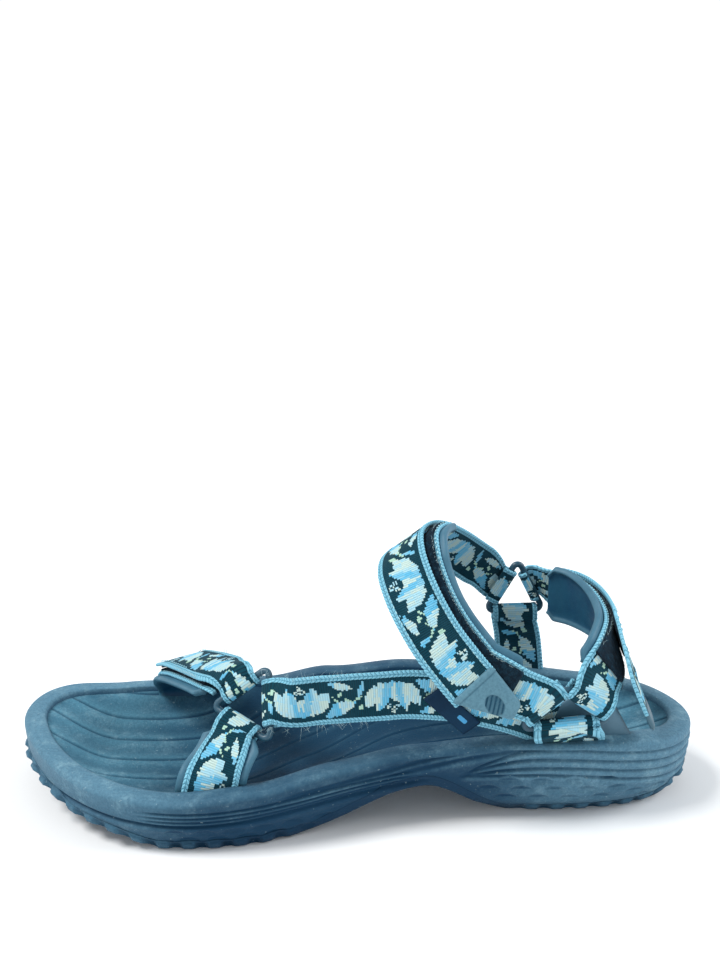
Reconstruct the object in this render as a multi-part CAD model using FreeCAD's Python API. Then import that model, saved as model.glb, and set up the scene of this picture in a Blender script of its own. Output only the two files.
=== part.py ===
import FreeCAD, Part
import math
import os

from FreeCAD import Vector as V

os.makedirs("parts", exist_ok=True)

# Strappy sport sandal for the left foot, in millimetres.
# +X points to the toe, +Y to the outer (lateral) side, +Z up; the floor is Z = 0.

# ---- driving dimensions ----
webbing = 20.0            # width of the strap webbing
cloth = 1.4               # thickness of the strap webbing
loop_pile = 1.0           # thickness of the loop half of a closure
hook_tape = 0.8           # thickness of the hook half of a closure
tape_width = 17.0         # width of both halves of a closure
lining = 2.4              # thickness of the moulded strap linings
seam_gap = 0.08           # gap between layers that are sewn together
slide_gap = 0.3           # gap between a ring and the webbing that turns on it
closure_gap = 0.4         # gap between the two halves of a closure
ring_wire = 2.6           # diameter of the moulded rings
ring_corner = 2.0         # radius of a ring's corners, on its middle line
loop_width = 15.5         # width of the webbing where it goes round a ring
anchor_width = 26.0       # width of the outer anchor where it enters the sole
lining_width = 25.0       # width of the strap linings
outsole_thickness = 4.5
footbed_thickness = 3.0
rim_width = 9.0           # width of the smooth rim round the footbed
slot_gap = 0.25           # clearance round a strap end in the sole
ground_cut = 1.2          # how far the tread is trimmed flat
lug_pitch = 10.5          # spacing of the tread's grooves
groove_depth = 2.0
groove_width = 2.6
cavity_gap = 0.15         # clearance round the parts that are moulded into the sole
cushion_radius = 17.0
cushion_height = 5.0
gusset_thickness = 2.6    # thickness of the outer anchor's lining
gusset_y = 26.4           # its face on the foot's side
tab_thickness = 2.4
tab_radius = 2.2          # radius of the pull tab's corners
heel_tab_thickness = 2.2
label_thickness = 1.0

centre_shift = -1.2       # moves the model so that its middle is at the origin

closure = cloth + loop_pile + hook_tape + 2 * seam_gap + closure_gap
lining_step = (cloth + lining) / 2 + seam_gap
loop_radius = ring_wire / 2 + slide_gap + cloth / 2


# ---- small helpers ----
def unit(v):
    return v * (1.0 / v.Length)


def blend_between(xs, values, x):
    """Piecewise smooth interpolation of values over the increasing list xs."""
    if x <= xs[0]:
        return values[0]
    for x0, x1, v0, v1 in zip(xs, xs[1:], values, values[1:]):
        if x <= x1:
            t = (x - x0) / (x1 - x0)
            return v0 + (v1 - v0) * t * t * (3 - 2 * t)
    return values[-1]


def catmull(p0, p1, p2, p3, t):
    return (p1 * 2 + (p2 - p0) * t + (p0 * 2 - p1 * 5 + p2 * 4 - p3) * (t * t)
            + (p1 * 3 - p0 - p2 * 3 + p3) * (t ** 3)) * 0.5


class Path:
    """A strap's middle line: places it passes, and the way its width points there.

    The width points from the strap's front or lower edge to its rear or upper edge.
    out is +1 or -1 and turns the normal to the side away from the foot.
    """

    def __init__(self, stations, out):
        self.places = [V(*place) for place, across in stations]
        self.widths = [unit(V(*across)) for place, across in stations]
        self.out = out
        self.lengths = [0.0]
        for a, b in zip(self.places, self.places[1:]):
            self.lengths.append(self.lengths[-1] + (b - a).Length)
        self.total = self.lengths[-1]
        self.marks = [0.0]
        while self.marks[-1] < self.total:
            self.marks.append(self.marks[-1] + self.stride(self.marks[-1]))

    def stride(self, s):
        """Distance to the next section, shorter where the path bends sharply."""
        step = 5.0
        here, across = self.frame(s)[1:3]
        while step > 0.9:
            ahead = self.frame(min(self.total, s + step))
            if here.getAngle(ahead[1]) < 0.36 and across.getAngle(ahead[2]) < 0.36:
                break
            step *= 0.7
        return step

    def sample(self, values, s):
        for i in range(len(self.lengths) - 1):
            if s <= self.lengths[i + 1] or i == len(self.lengths) - 2:
                break
        t = (s - self.lengths[i]) / (self.lengths[i + 1] - self.lengths[i])
        before = values[i - 1] if i > 0 else values[0] * 2 - values[1]
        after = values[i + 2] if i + 2 < len(values) else values[-1] * 2 - values[-2]
        return catmull(before, values[i], values[i + 1], after, t)

    def frame(self, s):
        """Place, direction, width and outward normal at distance s along the path."""
        place = self.sample(self.places, s)
        ahead = self.sample(self.places, s + 0.1)
        behind = self.sample(self.places, s - 0.1)
        along = unit(ahead - behind)
        across = self.sample(self.widths, s)
        across = unit(across - along * across.dot(along))
        normal = unit(across.cross(along)) * self.out
        return place, along, across, normal

    def at(self, place):
        """Distance along the path of the station that stands at this place."""
        return min(zip(self.lengths, self.places), key=lambda pair: (pair[1] - V(*place)).Length)[0]

    def beside_all(self, start, end, count, outward, sideways):
        """Evenly spaced stations of a path beside this one, from start to end."""
        return [self.beside(start + (end - start) * i / (count - 1), outward, sideways)
                for i in range(count)]

    def beside(self, s, outward, sideways):
        """A station of a second path that runs outward and sideways of this one."""
        place, along, across, normal = self.frame(s)
        moved = place + normal * outward + across * sideways
        return (tuple(moved), tuple(across))


def sections_along(path, start, end):
    """The path's own section places between start and end, with both ends."""
    inside = [s for s in path.marks if start + 0.5 < s < end - 0.5]
    return [start] + inside + [end]


def band(path, start, end, width, thickness, outward=0.0, widths=None):
    """A strip of even thickness along a path, from distance start to distance end."""
    sections = []
    for s in sections_along(path, start, end):
        place, along, across, normal = path.frame(s)
        half = (blend_between(widths[0], widths[1], s) if widths else width) / 2
        middle = place + normal * outward
        corners = [middle - across * half - normal * (thickness / 2),
                   middle + across * half - normal * (thickness / 2),
                   middle + across * half + normal * (thickness / 2),
                   middle - across * half + normal * (thickness / 2)]
        sections.append(Part.makePolygon(corners + corners[:1]))
    solid = Part.makeLoft(sections, True, True)
    if solid.Volume < 0:
        solid.reverse()
    return solid


def ring_loop(bar, strap_side, outside, tail=4.0, reverse=False, lead=3.5):
    """Stations that take a strap round a ring's bar, ending on the bar's inner side.

    strap_side points from the bar to the strap, and outside away from the foot.
    tail is the length of the end that is folded back under the strap, and lead the
    straight stretch before the bar.
    """
    start, end = bar
    axis = unit(end - start)
    middle = (start + end) * 0.5
    back = unit(strap_side - axis * strap_side.dot(axis))
    up = axis.cross(back)
    if up.dot(outside) < 0:
        up = up * -1
    before = middle + up * loop_radius + back * lead
    stations = [(tuple(before), tuple(axis))]
    for angle in (90, 45, 0, -45, -90):
        turn = math.radians(angle)
        place = middle + (up * math.sin(turn) - back * math.cos(turn)) * loop_radius
        stations.append((tuple(place), tuple(axis)))
    if tail:
        place = middle - up * (loop_radius + 0.15) + back * tail
        stations.append((tuple(place), tuple(axis)))
    return stations[::-1] if reverse else stations


def ring(corners):
    """A rounded triangular ring of round wire; returns its solid and its three bars."""
    points = [V(*c) for c in corners]
    starts, ends, middles = [], [], []
    for i in range(3):
        here, before, after = points[i], points[i - 1], points[(i + 1) % 3]
        to_before, to_after = unit(before - here), unit(after - here)
        half_angle = to_before.getAngle(to_after) / 2
        tangent = ring_corner / math.tan(half_angle)
        reach = ring_corner / math.sin(half_angle) - ring_corner
        starts.append(here + to_before * tangent)
        ends.append(here + to_after * tangent)
        middles.append(here + unit(to_before + to_after) * reach)
    edges = []
    for i in range(3):
        edges.append(Part.Arc(starts[i], middles[i], ends[i]).toShape())
        edges.append(Part.LineSegment(ends[i], starts[(i + 1) % 3]).toShape())
    section = Part.Wire([Part.makeCircle(ring_wire / 2, ends[0], unit(starts[1] - ends[0]))])
    spine = Part.Wire(edges[1:] + edges[:1])
    solid = spine.makePipeShell([section], True, True)
    bars = [(ends[i], starts[(i + 1) % 3]) for i in range(3)]
    return solid, bars


def grow(corners, factor):
    """The same triangle, made larger about its middle."""
    middle = (V(*corners[0]) + V(*corners[1]) + V(*corners[2])) * (1 / 3.0)
    return [tuple(middle + (V(*c) - middle) * factor) for c in corners]


def plate(path, s, outline, thickness, outward, rounding):
    """A flat plate at distance s along a path; outline holds (along, across) corners."""
    place, along, across, normal = path.frame(s)
    low = place + normal * (outward - thickness / 2)
    corners = [low + along * u + across * v for u, v in outline]
    face = Part.Face(Part.makePolygon(corners + corners[:1]))
    solid = face.extrude(normal * thickness)
    upright = [e for e in solid.Edges
               if len(e.Vertexes) == 2 and abs(unit(e.tangentAt(e.FirstParameter)).dot(normal)) > 0.99]
    return solid.makeFillet(rounding, upright)


def export(name, shape):
    solids = shape.Solids
    good = all(s.isValid() for s in solids) and len(solids) > 0
    box = shape.optimalBoundingBox(True, False)
    print("%-24s solids %d valid %s volume %.0f  x %.1f..%.1f y %.1f..%.1f z %.1f..%.1f" % (
        name, len(solids), good, shape.Volume,
        box.XMin, box.XMax, box.YMin, box.YMax, box.ZMin, box.ZMax))
    solids = [s.translated(V(centre_shift, 0, 0)) for s in solids]
    if len(solids) == 1:
        shape = solids[0]
    else:
        shape = Part.makeCompound(solids)
    shape.exportStep("parts/%s.step" % name)
    return shape


# ---- sole ----
sole_outline = [
    (-134, 3), (-130, 17), (-119, 28), (-100, 34.5), (-78, 36), (-50, 34.5), (-20, 34.5), (8, 40),
    (32, 47), (55, 50.5), (75, 49.5), (93, 44), (110, 32), (124, 16), (133, -1), (136.4, -15),
    (133, -31), (122, -42.5), (104, -48.5), (84, -50.5), (62, -47.5), (38, -41), (12, -35.5),
    (-15, -33.5), (-45, -33.5), (-78, -35), (-100, -33), (-119, -25), (-130, -12)]

rim_x = [-134, -100, -60, -20, 10, 40, 70, 100, 136]
rim_outer = [30, 33.4, 33.8, 30.5, 27.5, 24, 22, 23.5, 28]
rim_inner = [30, 31, 35, 39, 36, 29, 23.5, 24, 28]
floor_x = [-134, -95, -50, -15, 20, 60, 95, 134]
floor_z = [25, 23, 25, 26, 20, 15, 17, 24.5]
under_x = [-134, -112, -95, -62, -24, 28, 45, 68, 104, 134]
under_z = [7, 0, -ground_cut, -ground_cut, 14, 1, -ground_cut, -ground_cut, 7, 14]
arch_lift = 3.0


def half_width(x, side):
    """Distance from the X axis to the outline on one side (+1 outer, -1 inner)."""
    points = [p for p in sole_outline if p[1] * side >= 0]
    points = sorted((px, abs(py)) for px, py in points)
    return blend_between([p[0] for p in points], [p[1] for p in points], x)


def rim_height(x, y):
    share = min(1.0, max(0.0, (y + 30) / 60.0))
    share = share * share * (3 - 2 * share)
    outer = blend_between(rim_x, rim_outer, x)
    inner = blend_between(rim_x, rim_inner, x)
    return inner + (outer - inner) * share


def footbed_height(x, y):
    side = 1 if y >= 0 else -1
    edge = min(1.15, abs(y) / max(12.0, half_width(x, side)))
    low = blend_between(floor_x, floor_z, x)
    return low + (rim_height(x, y) - 1.5 - low) * edge ** 2.4


def under_height(x, y):
    """Height of the tread; the arch is hollower towards the outer side."""
    arch = blend_between([-62, -24, 28], [0, 1, 0], x)
    return blend_between(under_x, under_z, x) + arch_lift * arch * blend_between([8, 32], [0, 1], y)


def height_field(height, lift=0.0):
    """Everything below the surface z = height(x, y) + lift, as one solid block."""
    xs = [-150 + 300 * i / 24 for i in range(25)]
    ys = [-64 + 128 * j / 12 for j in range(13)]
    grid = [[V(x, y, height(x, y) + lift) for y in ys] for x in xs]
    surface = Part.BSplineSurface()
    surface.interpolate(grid)
    block = surface.toShape().extrude(V(0, 0, -120))
    return Part.Solid(block) if block.ShapeType == "Shell" else block


def outline_wire(inset, z, squeeze=0.0, tuck=0.0):
    """The sole's outline drawn in by inset.

    squeeze draws the sides in further, and tuck the sides of the heel.
    """
    points = []
    n = len(sole_outline)
    for i in range(n):
        x0, y0 = sole_outline[i - 1]
        x1, y1 = sole_outline[(i + 1) % n]
        dx, dy = x1 - x0, y1 - y0
        size = math.hypot(dx, dy)
        x, y = sole_outline[i]
        step = inset + (squeeze + tuck * blend_between([-50, -20], [1, 0], x)) * abs(dx) / size
        points.append(V(x + dy / size * step, y - dx / size * step, z))
    curve = Part.BSplineCurve()
    curve.interpolate(points, PeriodicFlag=True)
    return Part.Wire([curve.toShape()])


def build_sole():
    levels = [(9.0, -8.0, 2.0, 6.0), (5.5, 0.0, 1.5, 4.5), (2.0, 8.0, 1.0, 1.5), (0.8, 18.0, 0.2, 0.0),
              (0.0, 30.0, 0.0, 0.0), (0.3, 46.0, 0.0, 0.0)]
    blank = Part.makeLoft([outline_wire(*level) for level in levels], True, False)
    below = height_field(under_height)
    split = height_field(under_height, outsole_thickness)
    top = height_field(rim_height)
    bed_top = height_field(footbed_height)
    bed_under = height_field(footbed_height, -footbed_thickness)
    stack = blank.common(top).cut(below)
    ground = Part.makeBox(400, 200, 40, V(-200, -100, -40))
    stack = stack.cut(ground)
    outsole = stack.common(split)
    midsole = stack.cut(split)
    inner = Part.makeLoft([outline_wire(rim_width, -10), outline_wire(rim_width, 60)], True, False)
    footbed = inner.common(bed_top).cut(bed_under)
    midsole = midsole.cut(inner.cut(bed_under))
    return outsole, midsole, footbed


def tread_grooves():
    """Cuts across the tread that leave rows of lugs on the ground."""
    places = [-121 + lug_pitch * i for i in range(7)] + [30 + lug_pitch * i for i in range(9)]
    bars = [Part.makeBox(groove_width, 140, groove_depth + 1, V(x, -70, -1)) for x in places]
    return Part.makeCompound(bars)


def shank_plate(gap):
    """The stiff plate in the arch; gap makes the pocket for it."""
    line = [V(-62, 0, 12.5), V(-42, 0, 18.2), V(-24, 0, 20.6), V(-6, 0, 18.6), V(14, 0, 13.0)]
    curve = Part.BSplineCurve()
    curve.interpolate(line)
    half, thick = 13.0 + gap, 1.5 + 2 * gap
    edge = curve.toShape()
    low = edge.translated(V(0, -half, -thick / 2))
    face = low.extrude(V(0, 2 * half, 0))
    return face.extrude(V(0, 0, thick))


outsole, midsole, footbed = build_sole()
outsole = outsole.cut(tread_grooves())
shank = shank_plate(0)
heel_cushion = Part.makeCylinder(cushion_radius, cushion_height, V(-90, 0, 9))

# ---- rings that join the straps ----
front_corners = grow([(54, 18.5, 45), (34.5, 32, 38.5), (35, 17, 58)], 1.15)
lateral_corners = grow([(-76, 36.8, 56.5), (-59, 37.3, 42.5), (-93, 35.4, 44)], 1.13)
medial_corners = grow([(-69.5, -34, 80), (-58, -33, 61), (-79, -33.5, 61)], 1.18)
front_ring, front_bars = ring(front_corners)
lateral_ring, lateral_bars = ring(lateral_corners)
medial_ring, medial_bars = ring(medial_corners)

# ---- outer toe strap, from the sole to the front ring ----
rearward = (-1, 0, 0)
outer_toe = Path([((57, 40.5, 9), rearward), ((57, 41, 18), rearward), ((55.5, 40.3, 25), rearward),
                  ((52.8, 37.2, 31.5), (-0.92, 0.3, 0.1)), ((49, 32, 37.6), (-0.88, 0.42, 0.0))]
                 + ring_loop(front_bars[0], V(9, 12, -10), V(0.3, 0.8, 0.5)), 1)


def looped(path, at_end):
    """Widths of a strap that narrows to pass round a ring at one end of its path."""
    if at_end:
        return ([path.total - 27, path.total - 15], [webbing, loop_width])
    return ([15, 27], [loop_width, webbing])


parts = {}
pockets = []


def strap_into_sole(path, start, end, width, under=0.0):
    """Notes the pocket that a strap's buried stretch needs in the sole.

    under is the thickness of what lies beneath the strap and goes in with it.
    """
    pockets.append(band(path, start, end, width + 2 * slot_gap, cloth + under + 2 * slot_gap, -under / 2))


parts["toe_strap_outer"] = band(outer_toe, 3, outer_toe.total, webbing, cloth,
                                widths=looped(outer_toe, True))
parts["toe_lining_outer"] = band(outer_toe, 7, outer_toe.total - 17, lining_width, lining, -lining_step)
strap_into_sole(outer_toe, 0, 19, lining_width, lining + seam_gap)

# ---- toe closure: inner strap with loop tape, flap with hook tape ----
flap_bar = (front_bars[2][1], front_bars[2][0])
toe_flap = Path(ring_loop(flap_bar, V(7, -10, 1), V(0.2, 0.3, 0.9), tail=0, reverse=True)
                + [((51.5, 8, 54.2), (-0.83, -0.47, 0.2)), ((58.3, -4, 51.4), (-0.84, -0.5, 0.15)),
                   ((65.2, -15.8, 48), (-0.85, -0.5, 0.1)), ((71, -26.5, 44.2), (-0.87, -0.47, 0.06)),
                   ((75, -34.5, 39.4), (-0.9, -0.4, 0.0))], 1)
inner_toe = Path([((72, -40, 9), rearward), ((72, -40.2, 17), rearward), ((73, -40.8, 25.5), rearward)]
                 + toe_flap.beside_all(toe_flap.total - 0.3, toe_flap.at((51.5, 8, 54.2)) - 2.5, 12,
                                       -closure - 0.2, 0), -1)
parts["toe_strap_inner"] = band(inner_toe, 3, inner_toe.total - 1.0, webbing, cloth,
                                widths=([inner_toe.total - 12, inner_toe.total - 2], [webbing, loop_width]))
parts["toe_lining_inner"] = band(inner_toe, 7, inner_toe.total - 8, lining_width, lining, -lining_step)
strap_into_sole(inner_toe, 0, 19, lining_width, lining + seam_gap)
loop_step = (cloth + loop_pile) / 2 + seam_gap
hook_step = (cloth + hook_tape) / 2 + seam_gap
parts["toe_loop_tape"] = band(inner_toe, 24, inner_toe.total - 6, tape_width, loop_pile, loop_step)
parts["toe_flap"] = band(toe_flap, 0, toe_flap.total, webbing, cloth, widths=looped(toe_flap, False))
parts["toe_hook_tape"] = band(toe_flap, toe_flap.total - 32, toe_flap.total - 1.5, tape_width, hook_tape,
                              -hook_step)

# ---- side strap along the outer side ----
side = Path(ring_loop(front_bars[1], V(-10, 5, 2), V(0.3, 0.9, 0.3), reverse=True)
            + [((24, 30.6, 51.5), (-0.05, -0.05, 1)), ((12, 32.3, 53.4), (0, 0.02, 1)),
               ((-4, 33.4, 54.8), (0, 0.02, 1)), ((-20, 33.4, 54.9), (0, 0.02, 1)),
               ((-34, 32.6, 53.2), (0.05, 0.05, 1)), ((-48, 31.8, 49.8), (0.12, 0.08, 0.98)),
               ((-60, 31.2, 45.7), (0.2, 0.08, 0.97)), ((-72, 30.5, 40.6), (0.25, 0.05, 0.96))], -1)
parts["side_strap"] = band(side, 0, side.total, webbing, cloth, widths=looped(side, False))
strap_into_sole(side, side.total - 22, side.total, webbing)

# ---- ankle anchors ----
outer_anchor = Path([((-81, 31.4, 20), rearward), ((-80.6, 31.5, 27), rearward),
                     ((-79.6, 32.0, 33), (-1, -0.02, 0.02))]
                    + ring_loop(lateral_bars[1], V(-1, -1, -10), V(0, 1, 0.2), tail=0, lead=2.0), 1)
parts["outer_anchor"] = band(outer_anchor, 0, outer_anchor.total, anchor_width, cloth,
                             widths=([15, 22], [anchor_width, webbing]))
pockets.append(Part.makeBox(anchor_width + 2.8, 4.2, 17, V(-94.4, 30.35, 19.5)))
inner_anchor = Path([((-71.5, -29.5, 18), rearward), ((-71.5, -29.6, 28), rearward),
                     ((-71, -31.0, 38), rearward), ((-70, -32.8, 48), rearward)]
                    + ring_loop(medial_bars[1], V(-1, 1, -10), V(0, -1, 0)), -1)
parts["inner_anchor"] = band(inner_anchor, 0, inner_anchor.total, webbing, cloth,
                             widths=looped(inner_anchor, True))
strap_into_sole(inner_anchor, 0, 24, webbing)

# ---- instep closure ----
instep_bar = (medial_bars[0][1], medial_bars[0][0])
instep = Path(ring_loop(instep_bar, V(10, 1.5, 9.5), V(0, -1, 0.2), reverse=True)
              + [((-55, -33.3, 78.6), (-0.5, 0.1, 0.85)), ((-48, -30.6, 84.6), (-0.52, 0.2, 0.83)),
                 ((-39.5, -24, 92.6), (-0.6, 0.27, 0.75)), ((-30, -13, 101), (-0.7, 0.3, 0.65)),
                 ((-22.5, -2, 105), (-0.75, 0.2, 0.62)), ((-17.5, 9, 105), (-0.78, 0.0, 0.6)),
                 ((-16.3, 19, 101.6), (-0.8, -0.1, 0.57)), ((-18.2, 27, 95.6), (-0.82, -0.15, 0.53)),
                 ((-22, 33.5, 88), (-0.82, -0.2, 0.52)), ((-27.5, 38, 79), (-0.82, -0.2, 0.52)),
                 ((-33.5, 40.6, 71), (-0.82, -0.2, 0.52)), ((-39.5, 41.8, 63.5), (-0.8, -0.2, 0.55)),
                 ((-46, 42.3, 56), (-0.78, -0.2, 0.58)), ((-52.5, 42.6, 49), (-0.75, -0.2, 0.6))], -1)
fold = instep.at((-30, -13, 101)) + 3.0
flap_end = instep.at((-39.5, 41.8, 63.5)) + 1.0
base_end = instep.at((-22.5, -2, 105)) - 5.0
parts["instep_strap_inner"] = band(instep, 0, fold - slide_gap / 2, webbing, cloth,
                                   widths=looped(instep, False))
parts["instep_flap"] = band(instep, fold + slide_gap / 2, flap_end, webbing, cloth)
parts["instep_hook_tape"] = band(instep, flap_end - 46, flap_end - 2, tape_width, hook_tape, -hook_step)
parts["instep_tab"] = plate(instep, flap_end + 0.4, [(0, -10), (0, 10), (17.5, 9.0), (20, 2.5)],
                            tab_thickness, 0.6, tab_radius)
base_bar = (lateral_bars[0][1], lateral_bars[0][0])
instep_base = Path(ring_loop(base_bar, V(9, 0, 8), V(0, 1, 0.2), reverse=True)
                   + [((-57.5, 38.6, 57.5), (-0.66, 0.05, 0.72)), ((-50.5, 38.0, 61.2), (-0.72, -0.05, 0.66))]
                   + instep.beside_all(flap_end - 1, base_end, 22, -closure, 4.5), 1)
parts["instep_base"] = band(instep_base, 0, instep_base.total, webbing, cloth,
                            widths=looped(instep_base, False))
parts["instep_loop_tape"] = band(instep_base, 26, instep_base.total - 1, tape_width, loop_pile, loop_step)
parts["instep_lining"] = band(instep_base, 26, instep_base.total, lining_width, lining, -lining_step)

# ---- heel closure ----
heel_base = Path(ring_loop(lateral_bars[2], V(-3, -1, 9), V(-0.3, 1, 0.2), reverse=True)
                 + [((-88.6, 34.8, 60), (0.75, 0.1, 0.6)), ((-93.8, 28.5, 65), (0.55, 0.1, 0.8)),
                    ((-97.4, 17, 67.2), (0.33, 0.02, 0.94)), ((-98.6, 3, 68.0), (0.27, 0, 0.96)),
                    ((-96.6, -11, 69), (0.22, 0, 0.97)), ((-91.3, -22, 69.5), (0.12, 0, 0.99)),
                    ((-83.5, -28.6, 69.6), (0.05, 0, 1))], -1)
parts["heel_base"] = band(heel_base, 0, heel_base.total, webbing, cloth, widths=looped(heel_base, False))
parts["heel_loop_tape"] = band(heel_base, 27, heel_base.total - 1, tape_width, loop_pile, loop_step)
parts["heel_lining"] = band(heel_base, 23, heel_base.total + 0.5, lining_width, lining, -lining_step)
heel_flap = Path(ring_loop(medial_bars[2], V(-8, -1, 0), V(0, -1, 0), tail=0, reverse=True)
                 + heel_base.beside_all(heel_base.total - 1, heel_base.at((-97.4, 17, 67.2)) + 3, 13, closure, 0)
                 + [((-102.2, 24.5, 62.5), (0.38, 0.4, 0.83)), ((-104.2, 28.5, 54.5), (0.38, 0.7, 0.6)),
                    ((-107.2, 29.6, 47), (0.35, 0.8, 0.45)), ((-110.5, 29, 40), (0.35, 0.8, 0.45))], 1)
parts["heel_flap"] = band(heel_flap, 0, heel_flap.total - 7, webbing, cloth,
                          widths=([12, 24, heel_flap.total - 22, heel_flap.total - 7],
                                  [loop_width - 2, webbing, webbing, loop_width]))
parts["heel_hook_tape"] = band(heel_flap, heel_flap.total - 66, heel_flap.total - 32, tape_width, hook_tape,
                               -hook_step)
parts["heel_tab"] = plate(heel_flap, heel_flap.total - 6.7, [(0, -7), (0, 7), (8, 6), (8, -6)],
                          heel_tab_thickness, 0, 2.0)

# ---- outer anchor lining and label ----
liner = [V(-68, 0, 20), V(-104, 0, 20), V(-105, 0, 31), V(-93, 0, 53), V(-86, 0, 55), V(-72, 0, 45)]
liner = [corner + V(0, gusset_y, 0) for corner in liner]
parts["anchor_lining"] = Part.Face(Part.makePolygon(liner + liner[:1])).extrude(V(0, gusset_thickness, 0))
pockets.append(Part.makeBox(38, gusset_thickness + 2 * slot_gap, 20, V(-105.5, gusset_y - slot_gap, 19.5)))
label_at = side.at((-34, 32.6, 53.2)) + 2
parts["woven_label"] = plate(side, label_at, [(-13, -1.5), (-7.5, 4.5), (11, -8), (5.5, -14)], label_thickness,
                             cloth / 2 + seam_gap + 0.75, 0.6)

# ---- let the strap ends into the sole ----
for pocket in pockets:
    midsole = midsole.cut(pocket)
    footbed = footbed.cut(pocket)
footbed = max(footbed.Solids, key=lambda solid: solid.Volume)
midsole = midsole.cut(shank_plate(cavity_gap))
midsole = midsole.cut(Part.makeCylinder(cushion_radius + cavity_gap, cushion_height + 2 * cavity_gap,
                                        V(-90, 0, 9 - cavity_gap)))
parts["outsole"] = outsole
parts["midsole"] = midsole
parts["footbed"] = footbed
parts["arch_shank"] = shank
parts["heel_cushion"] = heel_cushion
parts["front_ring"] = front_ring
parts["outer_ankle_ring"] = lateral_ring
parts["inner_ankle_ring"] = medial_ring
for name, shape in parts.items():
    export(name, shape)

shift = V(centre_shift, 0, 0)
fold_place, fold_along, fold_across, fold_normal = instep.frame(fold)
fold_top = fold_place + fold_normal * (cloth / 2)
for joint, middle, axis in (("toe flap", (flap_bar[0] + flap_bar[1]) * 0.5, unit(flap_bar[1] - flap_bar[0])),
                            ("instep flap", fold_top, fold_across * -1),
                            ("heel flap", (medial_bars[2][0] + medial_bars[2][1]) * 0.5,
                             unit(medial_bars[2][1] - medial_bars[2][0]))):
    print("%s turns about (%.2f, %.2f, %.2f) along (%.4f, %.4f, %.4f)" % (
        (joint,) + tuple(middle + shift) + tuple(axis)))
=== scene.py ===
import math
import random

import bmesh
import bpy
import numpy as np
from mathutils import Matrix, Vector as V, noise


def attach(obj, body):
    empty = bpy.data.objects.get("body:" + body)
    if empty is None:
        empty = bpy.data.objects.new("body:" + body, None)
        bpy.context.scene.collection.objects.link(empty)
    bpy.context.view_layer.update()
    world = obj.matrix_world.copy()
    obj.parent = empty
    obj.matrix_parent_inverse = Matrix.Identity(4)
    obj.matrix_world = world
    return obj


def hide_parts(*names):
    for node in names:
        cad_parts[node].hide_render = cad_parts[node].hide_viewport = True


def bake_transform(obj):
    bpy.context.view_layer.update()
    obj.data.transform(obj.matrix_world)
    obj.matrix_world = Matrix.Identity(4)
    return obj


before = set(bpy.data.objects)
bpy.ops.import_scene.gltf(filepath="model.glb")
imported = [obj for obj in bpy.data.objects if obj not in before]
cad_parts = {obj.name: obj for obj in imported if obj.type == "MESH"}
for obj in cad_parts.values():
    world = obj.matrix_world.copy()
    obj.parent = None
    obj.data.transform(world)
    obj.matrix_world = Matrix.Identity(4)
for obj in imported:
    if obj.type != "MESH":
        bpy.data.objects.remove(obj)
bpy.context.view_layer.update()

# Left sport sandal. +X points to the toe, +Y to the outer side, +Z up.
# Places in this script are in millimetres, as measured before the model is centred;
# metres() brings them to the frame.
MM = 0.001
CENTRE_SHIFT = -1.2
WELD = 0.002              # vertices closer than this become one

# ---- driving dimensions ----
WEBBING = 20.0            # width of the strap webbing
CLOTH = 1.4               # its thickness
LOOP_PILE = 1.0           # loop half of a closure
HOOK_TAPE = 0.8           # hook half of a closure
TAPE_WIDTH = 17.0
LINING = 2.4
LINING_WIDTH = 25.0
SEAM_GAP = 0.08
SLIDE_GAP = 0.3
CLOSURE_GAP = 0.4
RING_WIRE = 2.6
RING_CORNER = 2.0
LOOP_WIDTH = 19.0         # width of the webbing, bunched where it goes round a ring
ANCHOR_WIDTH = 26.0
OUTSOLE_THICKNESS = 4.5
RIM_WIDTH = 9.0
GROUND_CUT = 1.2
ARCH_LIFT = 3.0

CLOSURE = CLOTH + LOOP_PILE + HOOK_TAPE + 2 * SEAM_GAP + CLOSURE_GAP
LINING_STEP = (CLOTH + LINING) / 2 + SEAM_GAP
LOOP_RADIUS = RING_WIRE / 2 + SLIDE_GAP + CLOTH / 2
LOOP_STEP = (CLOTH + LOOP_PILE) / 2 + SEAM_GAP
HOOK_STEP = (CLOTH + HOOK_TAPE) / 2 + SEAM_GAP

# the jacquard: one flower every HALF_REPEAT along the strap, each the other way up
HALF_REPEAT = 33.5
RIB = 0.8                 # pitch of the weave's ribs, which run across the strap
THREAD = 0.5              # width of one warp thread

# a strap that is bunched at a ring is at its narrowest up to BUNCHED from the path's end,
# and has its full width from SPREAD on
BUNCHED, SPREAD = 15, 27
FOLD_REACH = 5            # how far each side of the instep flap's fold two places are worked out; nothing uses them


def metres(place):
    return ((place[0] + CENTRE_SHIFT) * MM, place[1] * MM, place[2] * MM)


# ---- curves and paths ----
def unit(v):
    return v / v.length


def between(xs, x):
    """The stretch of the increasing list xs that holds x, its length and the share before x."""
    i = np.clip(np.searchsorted(xs, x) - 1, 0, len(xs) - 2)
    return i, xs[i + 1] - xs[i], np.clip((x - xs[i]) / (xs[i + 1] - xs[i]), 0, 1)


def ease(xs, values, x):
    """Smooth steps between values over the increasing list xs, as the sole was drawn."""
    xs, values, x = np.array(xs, float), np.array(values, float), np.asarray(x, float)
    i, _, t = between(xs, x)
    return values[i] + (values[i + 1] - values[i]) * (t * t * (3 - 2 * t))


def flowing(xs, values, x):
    """A smooth curve through values over the increasing list xs."""
    xs, values, x = np.array(xs, float), np.array(values, float), np.asarray(x, float)
    slopes = np.gradient(values, xs)
    i, h, t = between(xs, x)
    return (values[i] * (1 + 2 * t) * (1 - t) ** 2 + slopes[i] * h * t * (1 - t) ** 2
            + values[i + 1] * t * t * (3 - 2 * t) + slopes[i + 1] * h * t * t * (t - 1))


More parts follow.
